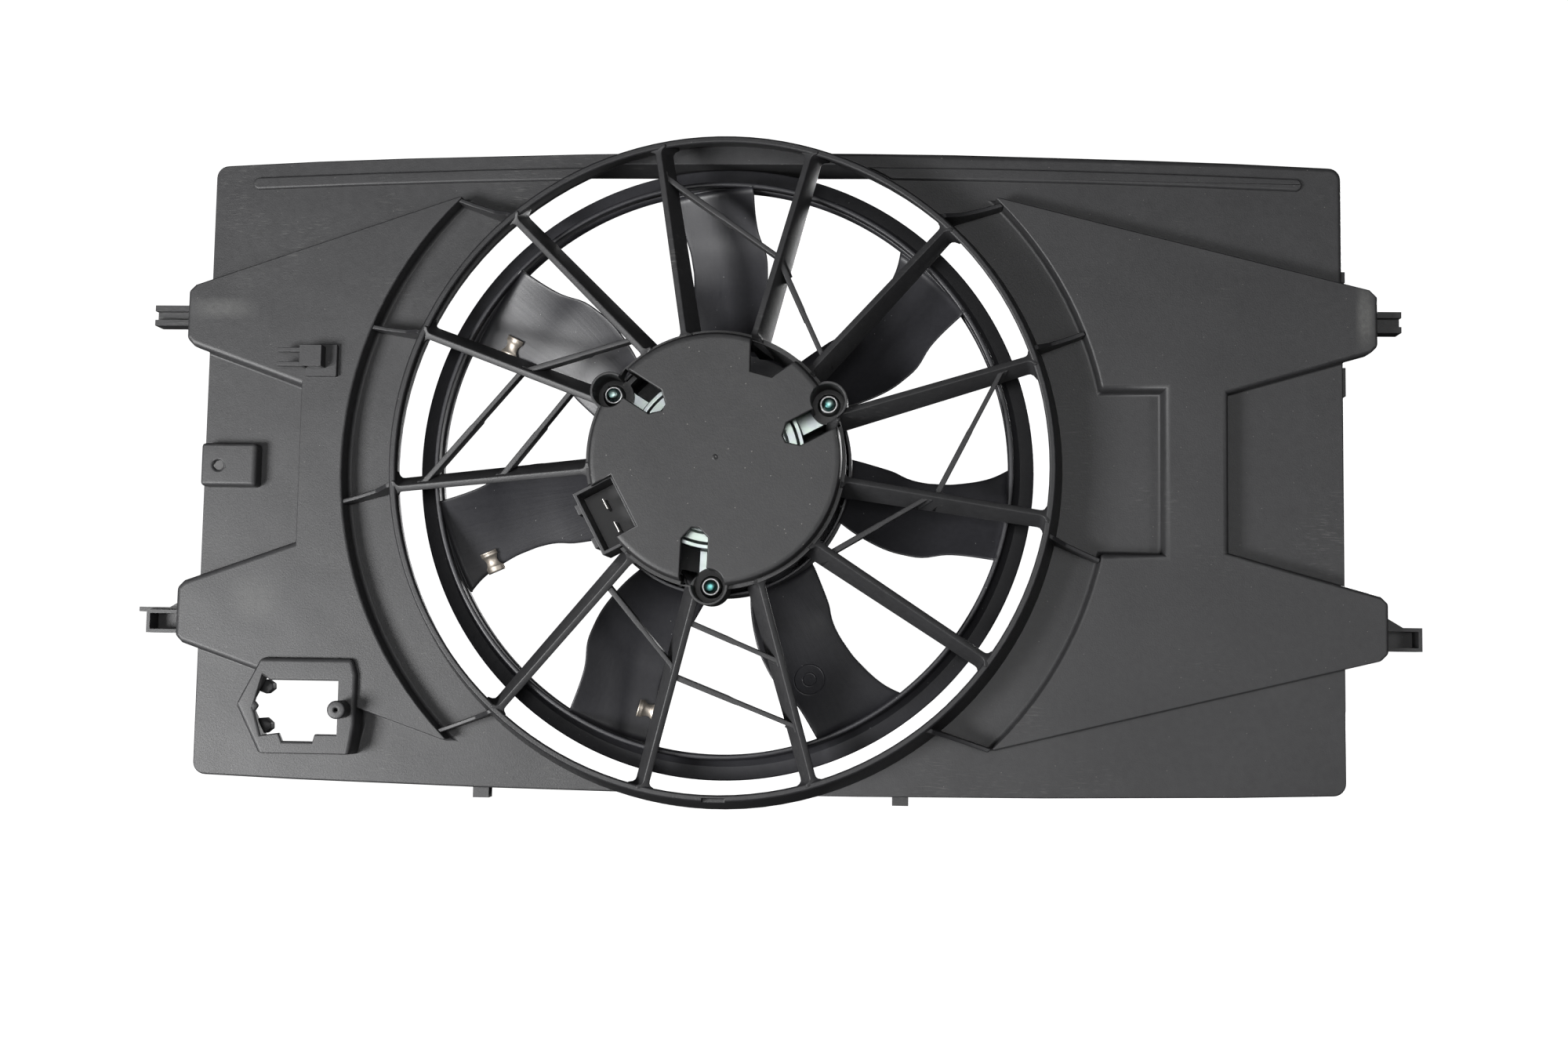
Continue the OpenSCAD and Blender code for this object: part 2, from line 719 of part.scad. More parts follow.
module brush_card() {
    color([0.45, 0.33, 0.2]) upright() difference() {
        union() {
            translate([0, 0, card_z]) cylinder(r = can_r - can_wall - 0.3, h = card_t);
            for (s = [0, 180]) rotate([0, 0, s]) translate([comm_r + 2, -holder_w / 2, brush_z - 1.5])
                cube([holder_l, holder_w, card_z - brush_z + 1.5 + eps]);
        }
        translate([0, 0, card_z - 1]) cylinder(r = comm_r + 1.5, h = card_t + 2);
        for (s = [0, 180]) rotate([0, 0, s]) translate([comm_r + 1, -3.2, brush_z - 0.2])
            cube([holder_l, 6.4, brush_h + 0.4]);
    }
}

module carbon_brushes() {
    color([0.12, 0.12, 0.12]) upright() for (s = [0, 180]) rotate([0, 0, s]) difference() {
        translate([comm_r - 1, -3, brush_z]) cube([brush_l, 6, brush_h]);
        translate([0, 0, brush_z - 1]) cylinder(r = comm_r + 0.05, h = brush_h + 2);
    }
}

// Coil springs drawn as their outer sleeves
module brush_springs() {
    color([0.7, 0.7, 0.72]) upright() for (s = [0, 180]) rotate([0, 0, s])
        translate([comm_r + brush_l - 0.8, 0, brush_z + brush_h / 2]) rotate([0, 90, 0]) difference() {
            cylinder(r = spring_r, h = spring_l);
            translate([0, 0, -1]) cylinder(r = spring_r * 2 / 3, h = spring_l + 2);
        }
}

module front_bearing() {
    color([0.72, 0.53, 0.3]) upright() translate([0, 0, can_z - nose_l + 1]) difference() {
        cylinder(r = bush_r, h = bush_l);
        translate([0, 0, -1]) cylinder(r = shaft_r + bearing_gap, h = bush_l + 2);
    }
}

module rear_bearing() {
    color([0.72, 0.53, 0.3]) upright() translate([0, 0, can_top + 0.5]) difference() {
        cylinder(r = rear_bush_r, h = plate_t + rear_nose_l - 1);
        translate([0, 0, -1]) cylinder(r = shaft_r + bearing_gap, h = 20);
    }
}

// Two-way socket whose mouth faces the engine
module connector_housing() {
    inner_x = connector_r - connector_w / 2;
    color([0.13, 0.13, 0.14]) upright() rotate([0, 0, connector_angle]) difference() {
        union() {
            translate([inner_x, -connector_l / 2, connector_z]) cube([connector_w, connector_l, connector_h]);
            translate([can_r - 12, -7, can_top + plate_t + 1.5]) cube([20, 14, 2.5]);
            for (y = key_y) translate([inner_x + connector_w - eps, y, connector_z + 4])
                cube([2.4, 6, connector_h - 8]);
        }
        translate([inner_x + connector_wall, connector_wall - connector_l / 2, connector_z + connector_floor])
            cube([connector_w - 2 * connector_wall, connector_l - 2 * connector_wall, connector_h]);
        terminal_places() translate([0, 0, -1]) cube([terminal_t, terminal_w, 10]);
    }
}

// Puts its children at the foot of each terminal
module terminal_places() {
    for (y = terminal_y) translate([connector_r - 1, y - terminal_w / 2, connector_z]) children();
}

module terminals() {
    color([0.8, 0.8, 0.78]) upright() rotate([0, 0, connector_angle])
        terminal_places() translate([0, 0, 0.5]) cube([terminal_t, terminal_w, terminal_l]);
}

module mounting_studs() {
    color([0.35, 0.68, 0.66]) upright() well_places() {
        translate([0, 0, ear_z - 2.5]) cylinder(r = stud_r + 2, h = 2.5);
        translate([0, 0, ear_z - eps]) cylinder(r = stud_r, h = nut_z + nut_h + 4 - ear_z);
    }
}

module flange_nuts() {
    color([0.8, 0.81, 0.82]) upright() well_places() translate([0, 0, nut_z]) difference() {
        union() {
            cylinder(r = nut_flange_r, h = 1.4);
            cylinder(r = nut_af / sqrt(3), h = nut_h, $fn = 6);
        }
        translate([0, 0, -1]) cylinder(r = stud_r, h = nut_h + 2);
    }
}

module fan_hub() {
    z1 = hub_z + 3;
    color([0.14, 0.14, 0.16]) upright() difference() {
        union() {
            rotate_extrude() polygon([
                [0, hub_z], [hub_r - 7, hub_z], [hub_r - 3, hub_z + 1.2], [hub_r - 0.8, hub_z + 4],
                [hub_r, hub_z + 8], [hub_r, hub_rim_z], [hub_r - hub_wall, hub_rim_z],
                [hub_r - hub_wall, hub_z + 8], [hub_r - hub_wall - 2, z1 + 1], [hub_r - 8, z1], [0, z1]
            ]);
            translate([0, 0, hub_z]) cylinder(r = hub_boss_r, h = hub_boss_l);
            for (k = [0:blades - 1]) rotate([0, 0, k * 360 / blades])
                translate([hub_boss_r - 1, -1, z1 - eps]) cube([hub_r - hub_boss_r - hub_wall - 2, 2, 7]);
            for (k = [0:hub_ribs - 1]) rotate([0, 0, k * 360 / hub_ribs])
                translate([hub_r - hub_wall, 0, hub_z + 9])
                    cylinder(r = hub_rib_r, h = hub_rim_z - hub_rib_drop - hub_z - 9, $fn = 24);
        }
        translate([0, 0, hub_z - 1]) cylinder(r = shaft_r, h = 40);
    }
}

// Section of a blade at station i: the upper side from leading to trailing edge, then the lower side back
function blade_ring(i) =
    let (t = i / blade_stations, r = blade_root_r + (blade_tip_r - blade_root_r) * t,
        lead = smooth(lead_sweep, t), trail = smooth(trail_sweep, t),
        h = blade_hub_h + (blade_tip_h - blade_hub_h) * t)
    concat(
        [for (j = [0:chord_steps]) blade_point(r, lead, trail, h, j / chord_steps, 1)],
        [for (j = [chord_steps:-1:0]) blade_point(r, lead, trail, h, j / chord_steps, -1)]
    );

function blade_point(r, lead, trail, h, s, side) =
    let (a = lead + (trail - lead) * s, bulge = 4 * s * (1 - s),
        z = blade_mid_z + h * (s - 0.5) - blade_camber * bulge,
        t = 0.4 + 0.6 * sqrt(bulge))
    [r * cos(a), r * sin(a), z + side * blade_t * t / 2];

module blade() {
    m = 2 * (chord_steps + 1);
    n = blade_stations;
    points = [for (i = [0:n]) each blade_ring(i)];
    sides = [for (i = [0:n - 1], j = [0:m - 1]) let (a = i * m + j, b = i * m + (j + 1) % m)
        each [[a, b + m, b], [a, a + m, b + m]]];
    root = [for (j = [0:chord_steps - 1]) each [[j, j + 1, m - 1 - j], [j + 1, m - 2 - j, m - 1 - j]]];
    tip = [for (f = root) [f[0] + n * m, f[2] + n * m, f[1] + n * m]];
    polyhedron(points, concat(sides, root, tip));
}

module fan_blades() {
    color([0.16, 0.16, 0.18]) upright()
        for (k = [0:blades - 1]) rotate([0, 0, blade_start + k * 360 / blades]) blade();
}

module fan_band() {
    outer = band_outer;
    flange = outer + flange_w;
    front = band_z + band_l;
    color([0.14, 0.14, 0.16]) upright() rotate_extrude($fn = 180) polygon([
        [band_r, front], [outer, front], [outer, band_z + 8], [outer + 1.6, band_z + 4.4],
        [outer + 5, band_z + 2.4], [flange, band_z + 2], [flange, band_z], [outer + 4, band_z],
        [outer, band_z + 1.4], [band_r, band_z + 5]
    ]);
}

// Steel clips pushed over the leading edges of three blades
module balance_clips() {
    t = (clip_r - blade_root_r) / (blade_tip_r - blade_root_r);
    lead = smooth(lead_sweep, t);
    h = blade_hub_h + (blade_tip_h - blade_hub_h) * t;
    chord = clip_r * (lead - smooth(trail_sweep, t)) * PI / 180;
    pitch = atan2(h + 4 * blade_camber * -0.8, chord);
    color([0.78, 0.78, 0.76]) upright() for (k = clip_blades)
        rotate([0, 0, blade_start + k * 360 / blades + lead])
        translate([clip_r, 0.8, blade_mid_z - h / 2]) rotate([-pitch, 0, 0]) difference() {
            translate([-3.5, -9, -2.1]) cube([7, 10, 4.2]);
            translate([-4, -10, -1.5]) cube([8, 10.4, 3]);
        }
}

module motor_shaft() {
    end_z = can_top + plate_t + rear_nose_l - 1;
    color([0.7, 0.7, 0.72]) upright() {
        translate([0, 0, hub_z - 7.5]) cylinder(r = shaft_r, h = end_z - hub_z + 7.5);
    }
}

module armature_core() {
    color([0.4, 0.4, 0.42]) upright() translate([0, 0, core_z]) difference() {
        cylinder(r = core_r, h = core_l);
        translate([0, 0, -1]) cylinder(r = shaft_r, h = core_l + 2);
        for (k = [0:slots - 1]) rotate([0, 0, k * 360 / slots]) {
            translate([core_r - 13, -2.6, -1]) cube([10, 5.2, core_l + 2]);
            translate([core_r - 4, -1, -1]) cube([6, 2, core_l + 2]);
        }
    }
}

module armature_windings() {
    end_l = 4.5;
    color([0.72, 0.4, 0.2]) upright() {
        for (z = [core_z - end_l, core_z + core_l]) translate([0, 0, z]) rotate_extrude()
            translate([15, 0]) polygon([[0, 0.8], [0.8, 0], [19, 0], [20.5, 1.2], [20.5, end_l - 1.2],
                [19, end_l], [0.8, end_l], [0, end_l - 0.8]]);
        for (k = [0:slots - 1]) rotate([0, 0, k * 360 / slots])
            translate([core_r - 12.8, -2.4, core_z - eps]) cube([9.4, 4.8, core_l + 2 * eps]);
    }
}

module commutator() {
    color([0.75, 0.45, 0.25]) upright() translate([0, 0, comm_z]) difference() {
        cylinder(r = comm_r, h = comm_l);
        translate([0, 0, -1]) cylinder(r = shaft_r, h = comm_l + 2);
        for (k = [0:2 * slots - 1]) rotate([0, 0, k * 180 / slots])
            translate([comm_r - 1.2, -0.3, 1]) cube([3, 0.6, comm_l]);
    }
}

module thrust_washers() {
    color([0.55, 0.55, 0.57]) upright() for (z = [can_z + 5.8, can_top - 1.2])
        translate([0, 0, z]) difference() {
            cylinder(r = shaft_r + 3, h = 1);
            translate([0, 0, -1]) cylinder(r = shaft_r, h = 3);
        }
}

module hub_nut() {
    color([0.74, 0.75, 0.76]) upright() translate([0, 0, hub_z - 5.5]) difference() {
        union() {
            cylinder(r = 7.5, h = 5.5, $fn = 6);
            translate([0, 0, 4]) cylinder(r = 9, h = 1.5);
        }
        translate([0, 0, -1]) cylinder(r = shaft_r, h = 8);
    }
}

shroud_panel();
guard_ring();
stator_vanes();
cross_braces();
motor_carrier();
motor_can();
field_magnets();
motor_end_plate();
brush_card();
carbon_brushes();
brush_springs();
front_bearing();
rear_bearing();
connector_housing();
terminals();
mounting_studs();
flange_nuts();
fan_hub();
fan_blades();
fan_band();
balance_clips();
motor_shaft();
armature_core();
armature_windings();
commutator();
thrust_washers();
hub_nut();
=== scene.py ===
# Radiator fan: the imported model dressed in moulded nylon, zinc plate and ground steel.
# Pieces are drawn in millimetres with z pointing to the engine, then stood up by standUp.
from math import atan2, cos, hypot, pi, radians, sin, tan

import bmesh
import bpy
from mathutils import Matrix, Quaternion, Vector


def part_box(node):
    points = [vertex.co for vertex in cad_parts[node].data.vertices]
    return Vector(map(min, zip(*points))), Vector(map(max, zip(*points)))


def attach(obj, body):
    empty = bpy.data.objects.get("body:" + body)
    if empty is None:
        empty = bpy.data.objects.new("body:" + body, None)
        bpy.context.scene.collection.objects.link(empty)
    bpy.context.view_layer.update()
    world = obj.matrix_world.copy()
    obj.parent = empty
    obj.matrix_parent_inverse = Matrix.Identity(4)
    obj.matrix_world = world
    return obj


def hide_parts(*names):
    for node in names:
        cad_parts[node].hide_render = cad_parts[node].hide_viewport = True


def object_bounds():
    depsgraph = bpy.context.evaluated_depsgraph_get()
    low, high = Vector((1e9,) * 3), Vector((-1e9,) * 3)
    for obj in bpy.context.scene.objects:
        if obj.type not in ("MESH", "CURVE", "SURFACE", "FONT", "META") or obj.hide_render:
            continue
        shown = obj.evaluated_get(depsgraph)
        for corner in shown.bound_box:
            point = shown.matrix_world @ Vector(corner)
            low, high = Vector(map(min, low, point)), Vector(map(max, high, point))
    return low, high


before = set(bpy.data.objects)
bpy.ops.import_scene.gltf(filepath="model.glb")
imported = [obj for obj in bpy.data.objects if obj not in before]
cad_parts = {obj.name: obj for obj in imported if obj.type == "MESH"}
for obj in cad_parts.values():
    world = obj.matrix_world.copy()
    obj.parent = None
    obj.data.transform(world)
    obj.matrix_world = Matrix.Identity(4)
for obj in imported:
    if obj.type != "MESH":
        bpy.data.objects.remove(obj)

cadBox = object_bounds()
scene = bpy.context.scene
millimetre = 0.001
standUp = Matrix.Rotation(pi / 2, 4, "X") @ Matrix.Scale(millimetre, 4)


# Node helpers, used by shader trees and Geometry Nodes alike

def feed(tree, socket, value):
    if isinstance(value, bpy.types.NodeSocket):
        tree.links.new(value, socket)
    else:
        socket.default_value = value


def addNode(tree, kind, inputs=None, **settings):
    node = tree.nodes.new(kind)
    for name, value in settings.items():
        setattr(node, name, value)
    for name, value in (inputs or {}).items():
        feed(tree, node.inputs[name], value)
    return node


def calc(tree, operation, *values, clamp=False):
    node = addNode(tree, "ShaderNodeMath", operation=operation, use_clamp=clamp)
    for socket, value in zip(node.inputs, values):
        feed(tree, socket, value)
    return node.outputs[0]


def plus(tree, a, b, clamp=False):
    return calc(tree, "ADD", a, b, clamp=clamp)


def minus(tree, a, b, clamp=False):
    return calc(tree, "SUBTRACT", a, b, clamp=clamp)


def times(tree, a, b, clamp=False):
    return calc(tree, "MULTIPLY", a, b, clamp=clamp)


def vec(tree, operation, *values):
    node = addNode(tree, "ShaderNodeVectorMath", operation=operation)
    if operation == "SCALE":
        feed(tree, node.inputs[0], values[0])
        feed(tree, node.inputs["Scale"], values[1])
    else:
        for socket, value in zip(node.inputs, values):
            feed(tree, socket, value)
    scalar = operation in ("LENGTH", "DOT_PRODUCT", "DISTANCE")
    return node.outputs["Value" if scalar else "Vector"]


def joinXyz(tree, x, y, z):
    return addNode(tree, "ShaderNodeCombineXYZ", {"X": x, "Y": y, "Z": z}).outputs[0]


def splitXyz(tree, vector):
    return addNode(tree, "ShaderNodeSeparateXYZ", {"Vector": vector}).outputs


def blendTo(tree, low, high, share):
    return plus(tree, low, times(tree, minus(tree, high, low), share))


# Slow at both ends and quick between
def eased(tree, share):
    return times(tree, times(tree, share, share), minus(tree, 3.0, times(tree, share, 2.0)))


def rootOfSquares(tree, a, b):
    return calc(tree, "SQRT", plus(tree, times(tree, a, a), times(tree, b, b)))


# How far a round fillet stands out at this distance from its foot
def filletFlare(tree, gap, fillet):
    reach = minus(tree, 1.0, calc(tree, "DIVIDE", gap, fillet), clamp=True)
    bend = calc(tree, "SQRT", minus(tree, 1.0, times(tree, reach, reach), clamp=True))
    return times(tree, fillet, minus(tree, 1.0, bend))


def noise(tree, vector, scale, detail, roughness=0.5):
    return addNode(tree, "ShaderNodeTexNoise", {
        "Vector": vector, "Scale": scale, "Detail": detail, "Roughness": roughness}).outputs["Fac"]


def ramp(tree, value, low, high):
    return addNode(tree, "ShaderNodeMapRange", {
        "Value": value, "From Min": low, "From Max": high}).outputs[0]


def newTree(name, kind, inputs, outputs):
    tree = bpy.data.node_groups.new(name, kind)
    for label, socketType, value in inputs:
        socket = tree.interface.new_socket(label, in_out="INPUT", socket_type="NodeSocket" + socketType)
        if value is not None:
            socket.default_value = value
    for label, socketType in outputs:
        tree.interface.new_socket(label, in_out="OUTPUT", socket_type="NodeSocket" + socketType)
    return tree, tree.nodes.new("NodeGroupInput").outputs, tree.nodes.new("NodeGroupOutput").inputs


# Shared effects of the finishes

# Pitted surface with soft clouds of tone, as a mould leaves it
grainLook = {
    "pitScale": 0.45, "pitDepth": 0.6, "cloudRoughness": 0.62, "mottleScale": 22.0, "mottleShare": 0.45,
}


def mouldedGrainGroup():
    tree, given, out = newTree(
        "mouldedGrain", "ShaderNodeTree",
        [("Vector", "Vector", None), ("Grain", "Float", 2400.0), ("Patch", "Float", 14.0)],
        [("Height", "Float"), ("Tone", "Float")])
    place, grain, patch = given["Vector"], given["Grain"], given["Patch"]
    fine = noise(tree, place, grain, 2.0)
    pits = addNode(tree, "ShaderNodeTexVoronoi", {
        "Vector": place, "Scale": times(tree, grain, grainLook["pitScale"])})
    cloud = noise(tree, place, patch, 5.0, grainLook["cloudRoughness"])
    mottle = noise(tree, place, times(tree, patch, grainLook["mottleScale"]), 3.0)
    deep = times(tree, pits.outputs["Distance"], grainLook["pitDepth"])
    feed(tree, out["Height"], plus(tree, fine, deep))
    feed(tree, out["Tone"], blendTo(tree, cloud, mottle, grainLook["mottleShare"]))
    return tree


# Small round specks: a cell holds one when its random tone is above the limit
speckLimit = 0.55


def dustSpecksGroup():
    tree, given, out = newTree(
        "dustSpecks", "ShaderNodeTree",
        [("Vector", "Vector", None), ("Spacing", "Float", 170.0), ("Size", "Float", 0.05)],
        [("Mask", "Float")])
    cells = addNode(tree, "ShaderNodeTexVoronoi", {"Vector": given["Vector"], "Scale": given["Spacing"]})
    near = calc(tree, "LESS_THAN", cells.outputs["Distance"], given["Size"])
    rare = calc(tree, "GREATER_THAN", splitXyz(tree, cells.outputs["Color"])[0], speckLimit)
    feed(tree, out["Mask"], times(tree, near, rare))
    return tree


# Thin strokes in one direction, where a part has been handled
strokeLook = {
    "stretch": (160.0, 160.0, 1400.0), "strokes": (0.56, 0.74), "placeScale": 17.0, "places": (0.53, 0.68),
}


def handlingMarksGroup():
    tree, given, out = newTree(
        "handlingMarks", "ShaderNodeTree",
        [("Vector", "Vector", None), ("Amount", "Float", 0.5), ("Turn", "Float", 0.6)],
        [("Mask", "Float")])
    turned = addNode(tree, "ShaderNodeMapping", {
        "Vector": given["Vector"], "Rotation": joinXyz(tree, 0.0, given["Turn"], 0.0),
        "Scale": strokeLook["stretch"]})
    strokes = ramp(tree, noise(tree, turned.outputs[0], 1.0, 3.0), *strokeLook["strokes"])
    places = noise(tree, given["Vector"], strokeLook["placeScale"], 3.0)
    places = ramp(tree, places, *strokeLook["places"])
    feed(tree, out["Mask"], times(tree, times(tree, strokes, places), given["Amount"]))
    return tree


# Fine rings round the fan's axis, with clouds of tone
turnedCloudScale = 60.0


def turnedMarksGroup():
    tree, given, out = newTree(
        "turnedMarks", "ShaderNodeTree",
        [("Vector", "Vector", None), ("Pitch", "Float", 2600.0)],
        [("Height", "Float"), ("Tone", "Float")])
    x, y, z = splitXyz(tree, given["Vector"])
    rings = noise(tree, joinXyz(tree, rootOfSquares(tree, x, z), y, 0.0), given["Pitch"], 2.0)
    feed(tree, out["Height"], rings)
    feed(tree, out["Tone"], noise(tree, given["Vector"], turnedCloudScale, 4.0))
    return tree


grainGroup = mouldedGrainGroup()
specksGroup = dustSpecksGroup()
marksGroup = handlingMarksGroup()
turnedGroup = turnedMarksGroup()


def useGroup(tree, group, inputs):
    node = tree.nodes.new("ShaderNodeGroup")
    node.node_tree = group
    for name, value in inputs.items():
        feed(tree, node.inputs[name], value)
    return node.outputs


def newMaterial(name, metallic=0.0, coat=0.0, coatRoughness=0.2):
    material = bpy.data.materials.new(name)
    material.use_nodes = True
    tree = material.node_tree
    shader = tree.nodes["Principled BSDF"]
    shader.inputs["Metallic"].default_value = metallic
    shader.inputs["Coat Weight"].default_value = coat
    shader.inputs["Coat Roughness"].default_value = coatRoughness
    place = tree.nodes.new("ShaderNodeTexCoord").outputs["Object"]
    return material, tree, shader, place


def mixColour(tree, low, high, share):
    node = addNode(tree, "ShaderNodeMix", data_type="RGBA")
    feed(tree, node.inputs["Factor"], share)
    feed(tree, node.inputs["A"], (*low, 1.0) if isinstance(low, tuple) else low)
    feed(tree, node.inputs["B"], (*high, 1.0) if isinstance(high, tuple) else high)
    return node.outputs["Result"]


def addBump(tree, shader, height):
    bump = addNode(tree, "ShaderNodeBump", {"Height": height, "Strength": 1.0, "Distance": 1.0})
    feed(tree, shader.inputs["Normal"], bump.outputs[0])


# Ring-shaped mark on the front face: centre, radius and line width in the drawing's millimetres
def ringMask(tree, place, centre, radius, width):
    x, _, z = splitXyz(tree, place)
    dx = minus(tree, x, centre[0] * millimetre)
    dz = minus(tree, z, centre[1] * millimetre)
    off = calc(tree, "ABSOLUTE", minus(tree, rootOfSquares(tree, dx, dz), radius * millimetre))
    return minus(tree, 1.0, calc(tree, "DIVIDE", off, width * millimetre), clamp=True)


# Soft-edged patch on the front face: centre and half size in the drawing's millimetres
def patchMask(tree, place, centre, half, reachOut=1.4):
    x, _, z = splitXyz(tree, place)
    mask = 1.0
    for value, middle, reach in ((x, centre[0], half[0]), (z, centre[1], half[1])):
        away = calc(tree, "ABSOLUTE", minus(tree, value, middle * millimetre))
        inside = minus(tree, reachOut, calc(tree, "DIVIDE", away, reach * millimetre), clamp=True)
        mask = times(tree, mask, inside)
    return mask


nylonFinish = {
    "dark": (0.014, 0.014, 0.015),
    "light": (0.050, 0.050, 0.052),
    "grain": 2300.0,
    "grainDepth": 0.00006,
    "patch": 13.0,
    "roughness": (0.42, 0.56),
    "scuff": (0.14, 0.14, 0.135),
    "scuffTurn": 0.7,
    "scuffRoughness": 0.15,
    "rubScale": 260.0,
    "dust": (0.17, 0.165, 0.155),
    "dustSpacing": 230.0,
    "sinkScale": 24.0,
    "sinkDepth": 0.0007,
    "gateRadius": 0.9,
    "gateWidth": 0.7,
    "gateDepth": 0.0004,
}


def nylonMaterial(name, form, marks=0.5, specks=0.05, rubbed=(), gate=None):
    material, tree, shader, place = newMaterial(name)
    grain = useGroup(tree, grainGroup, {"Vector": place, "Grain": form["grain"], "Patch": form["patch"]})
    scuffs = useGroup(tree, marksGroup, {
        "Vector": place, "Amount": marks, "Turn": form["scuffTurn"]})["Mask"]
    dust = useGroup(tree, specksGroup, {
        "Vector": place, "Spacing": form["dustSpacing"], "Size": specks})["Mask"]
    toned = mixColour(tree, form["dark"], form["light"], grain["Tone"])
    cloud = noise(tree, place, form["rubScale"], 4.0, 0.7)
    for centre, half, amount in rubbed:
        worn = times(tree, patchMask(tree, place, centre, half), cloud)
        scuffs = calc(tree, "MAXIMUM", scuffs, times(tree, worn, amount))
    scuffed = mixColour(tree, toned, form["scuff"], scuffs)
    feed(tree, shader.inputs["Base Color"], mixColour(tree, scuffed, form["dust"], dust))
    rough = blendTo(tree, *form["roughness"], grain["Tone"])
    feed(tree, shader.inputs["Roughness"], plus(tree, rough, times(tree, scuffs, form["scuffRoughness"])))
    sink = noise(tree, place, form["sinkScale"], 1.0)
    sunk = times(tree, sink, form["sinkDepth"])
    height = plus(tree, times(tree, grain["Height"], form["grainDepth"]), sunk)
    if gate:
        mark = ringMask(tree, place, gate, form["gateRadius"], form["gateWidth"])
        height = plus(tree, height, times(tree, mark, form["gateDepth"]))
    addBump(tree, shader, height)
    return material


fanFinish = {
    "dark": (0.013, 0.013, 0.015),
    "light": (0.036, 0.036, 0.041),
    "grain": 3200.0,
    "grainDepth": 0.00002,
    "patch": 18.0,
    "roughness": (0.36, 0.48),
    "dust": (0.25, 0.25, 0.25),
    "dustSpacing": 190.0,
    "dustSize": 0.045,
    "streaksRound": 70.0,
    "streaksOutward": 26.0,
    "streakDepth": 0.00006,
    "markPlaces": ((-133.5, 16.0), (50.0, -116.5)),
    "markRadii": (3.6, 8.2),
    "markWidth": 0.5,
    "markDepth": 0.00022,
}


def fanMaterial(name, form):
    material, tree, shader, place = newMaterial(name)
    x, y, z = splitXyz(tree, place)
    turn = times(tree, calc(tree, "ARCTAN2", z, x), form["streaksRound"])
    across = times(tree, rootOfSquares(tree, x, z), form["streaksOutward"])
    streaks = noise(tree, joinXyz(tree, turn, across, y), 1.0, 3.0)
    grain = useGroup(tree, grainGroup, {"Vector": place, "Grain": form["grain"], "Patch": form["patch"]})
    dust = useGroup(tree, specksGroup, {
        "Vector": place, "Spacing": form["dustSpacing"], "Size": form["dustSize"]})["Mask"]
    toned = mixColour(tree, form["dark"], form["light"], grain["Tone"])
    feed(tree, shader.inputs["Base Color"], mixColour(tree, toned, form["dust"], dust))
    feed(tree, shader.inputs["Roughness"], blendTo(tree, *form["roughness"], streaks))
    marks = 0.0
    for centre in form["markPlaces"]:
        for radius in form["markRadii"]:
            marks = plus(tree, marks, ringMask(tree, place, centre, radius, form["markWidth"]))
    height = plus(tree, times(tree, grain["Height"], form["grainDepth"]),
                  times(tree, streaks, form["streakDepth"]))
    addBump(tree, shader, plus(tree, height, times(tree, marks, form["markDepth"])))
    return material


# Turned or rolled metal, with a film of tint in patches where one is given
filmLook = {"scale": 130.0, "range": (0.4, 0.62)}


def metalMaterial(name, dark, light, roughness, pitch=1600.0, depth=0.000006, tint=None):
    material, tree, shader, place = newMaterial(name, metallic=1.0)
    turned = useGroup(tree, turnedGroup, {"Vector": place, "Pitch": pitch})
    colour = mixColour(tree, dark, light, turned["Tone"])
    if tint:
        film = ramp(tree, noise(tree, place, filmLook["scale"], 3.0), *filmLook["range"])
        colour = mixColour(tree, colour, tint, film)
    feed(tree, shader.inputs["Base Color"], colour)
    feed(tree, shader.inputs["Roughness"], blendTo(tree, *roughness, turned["Height"]))
    addBump(tree, shader, times(tree, turned["Height"], depth))
    return material


# Pressed powder, or sheets of the thickness given as layers
powderLook = {"patch": 90.0, "sheetDepth": 0.3, "sheetTone": 4.0}


def powderMaterial(name, dark, light, roughness, grainSize, depth, layers=0.0):
    material, tree, shader, place = newMaterial(name)
    grain = useGroup(tree, grainGroup, {"Vector": place, "Grain": grainSize, "Patch": powderLook["patch"]})
    tone = grain["Tone"]
    height = times(tree, grain["Height"], depth)
    if layers:
        sheet = calc(tree, "PINGPONG", splitXyz(tree, place)[1], layers)
        height = plus(tree, height, times(tree, sheet, powderLook["sheetDepth"]))
        lighter = calc(tree, "DIVIDE", sheet, layers * powderLook["sheetTone"])
        tone = plus(tree, tone, lighter, clamp=True)
    feed(tree, shader.inputs["Base Color"], mixColour(tree, dark, light, tone))
    feed(tree, shader.inputs["Roughness"], blendTo(tree, *roughness, grain["Tone"]))
    addBump(tree, shader, height)
    return material


copperEnamel = {
    "dark": (0.42, 0.15, 0.05), "light": (0.72, 0.33, 0.14), "roughness": (0.25, 0.45),
    "strand": 0.0004, "strandDepth": 0.7, "cloudScale": 220.0, "metallic": 0.85, "coat": 0.6,
}


def copperWireMaterial(name, form):
    material, tree, shader, place = newMaterial(name, metallic=form["metallic"], coat=form["coat"])
    x, y, z = splitXyz(tree, place)
    strand = calc(tree, "PINGPONG", plus(tree, rootOfSquares(tree, x, z), y), form["strand"])
    cloud = noise(tree, place, form["cloudScale"], 3.0)
    feed(tree, shader.inputs["Base Color"], mixColour(tree, form["dark"], form["light"], cloud))
    feed(tree, shader.inputs["Roughness"], blendTo(tree, *form["roughness"], cloud))
    addBump(tree, shader, times(tree, strand, form["strandDepth"]))
    return material


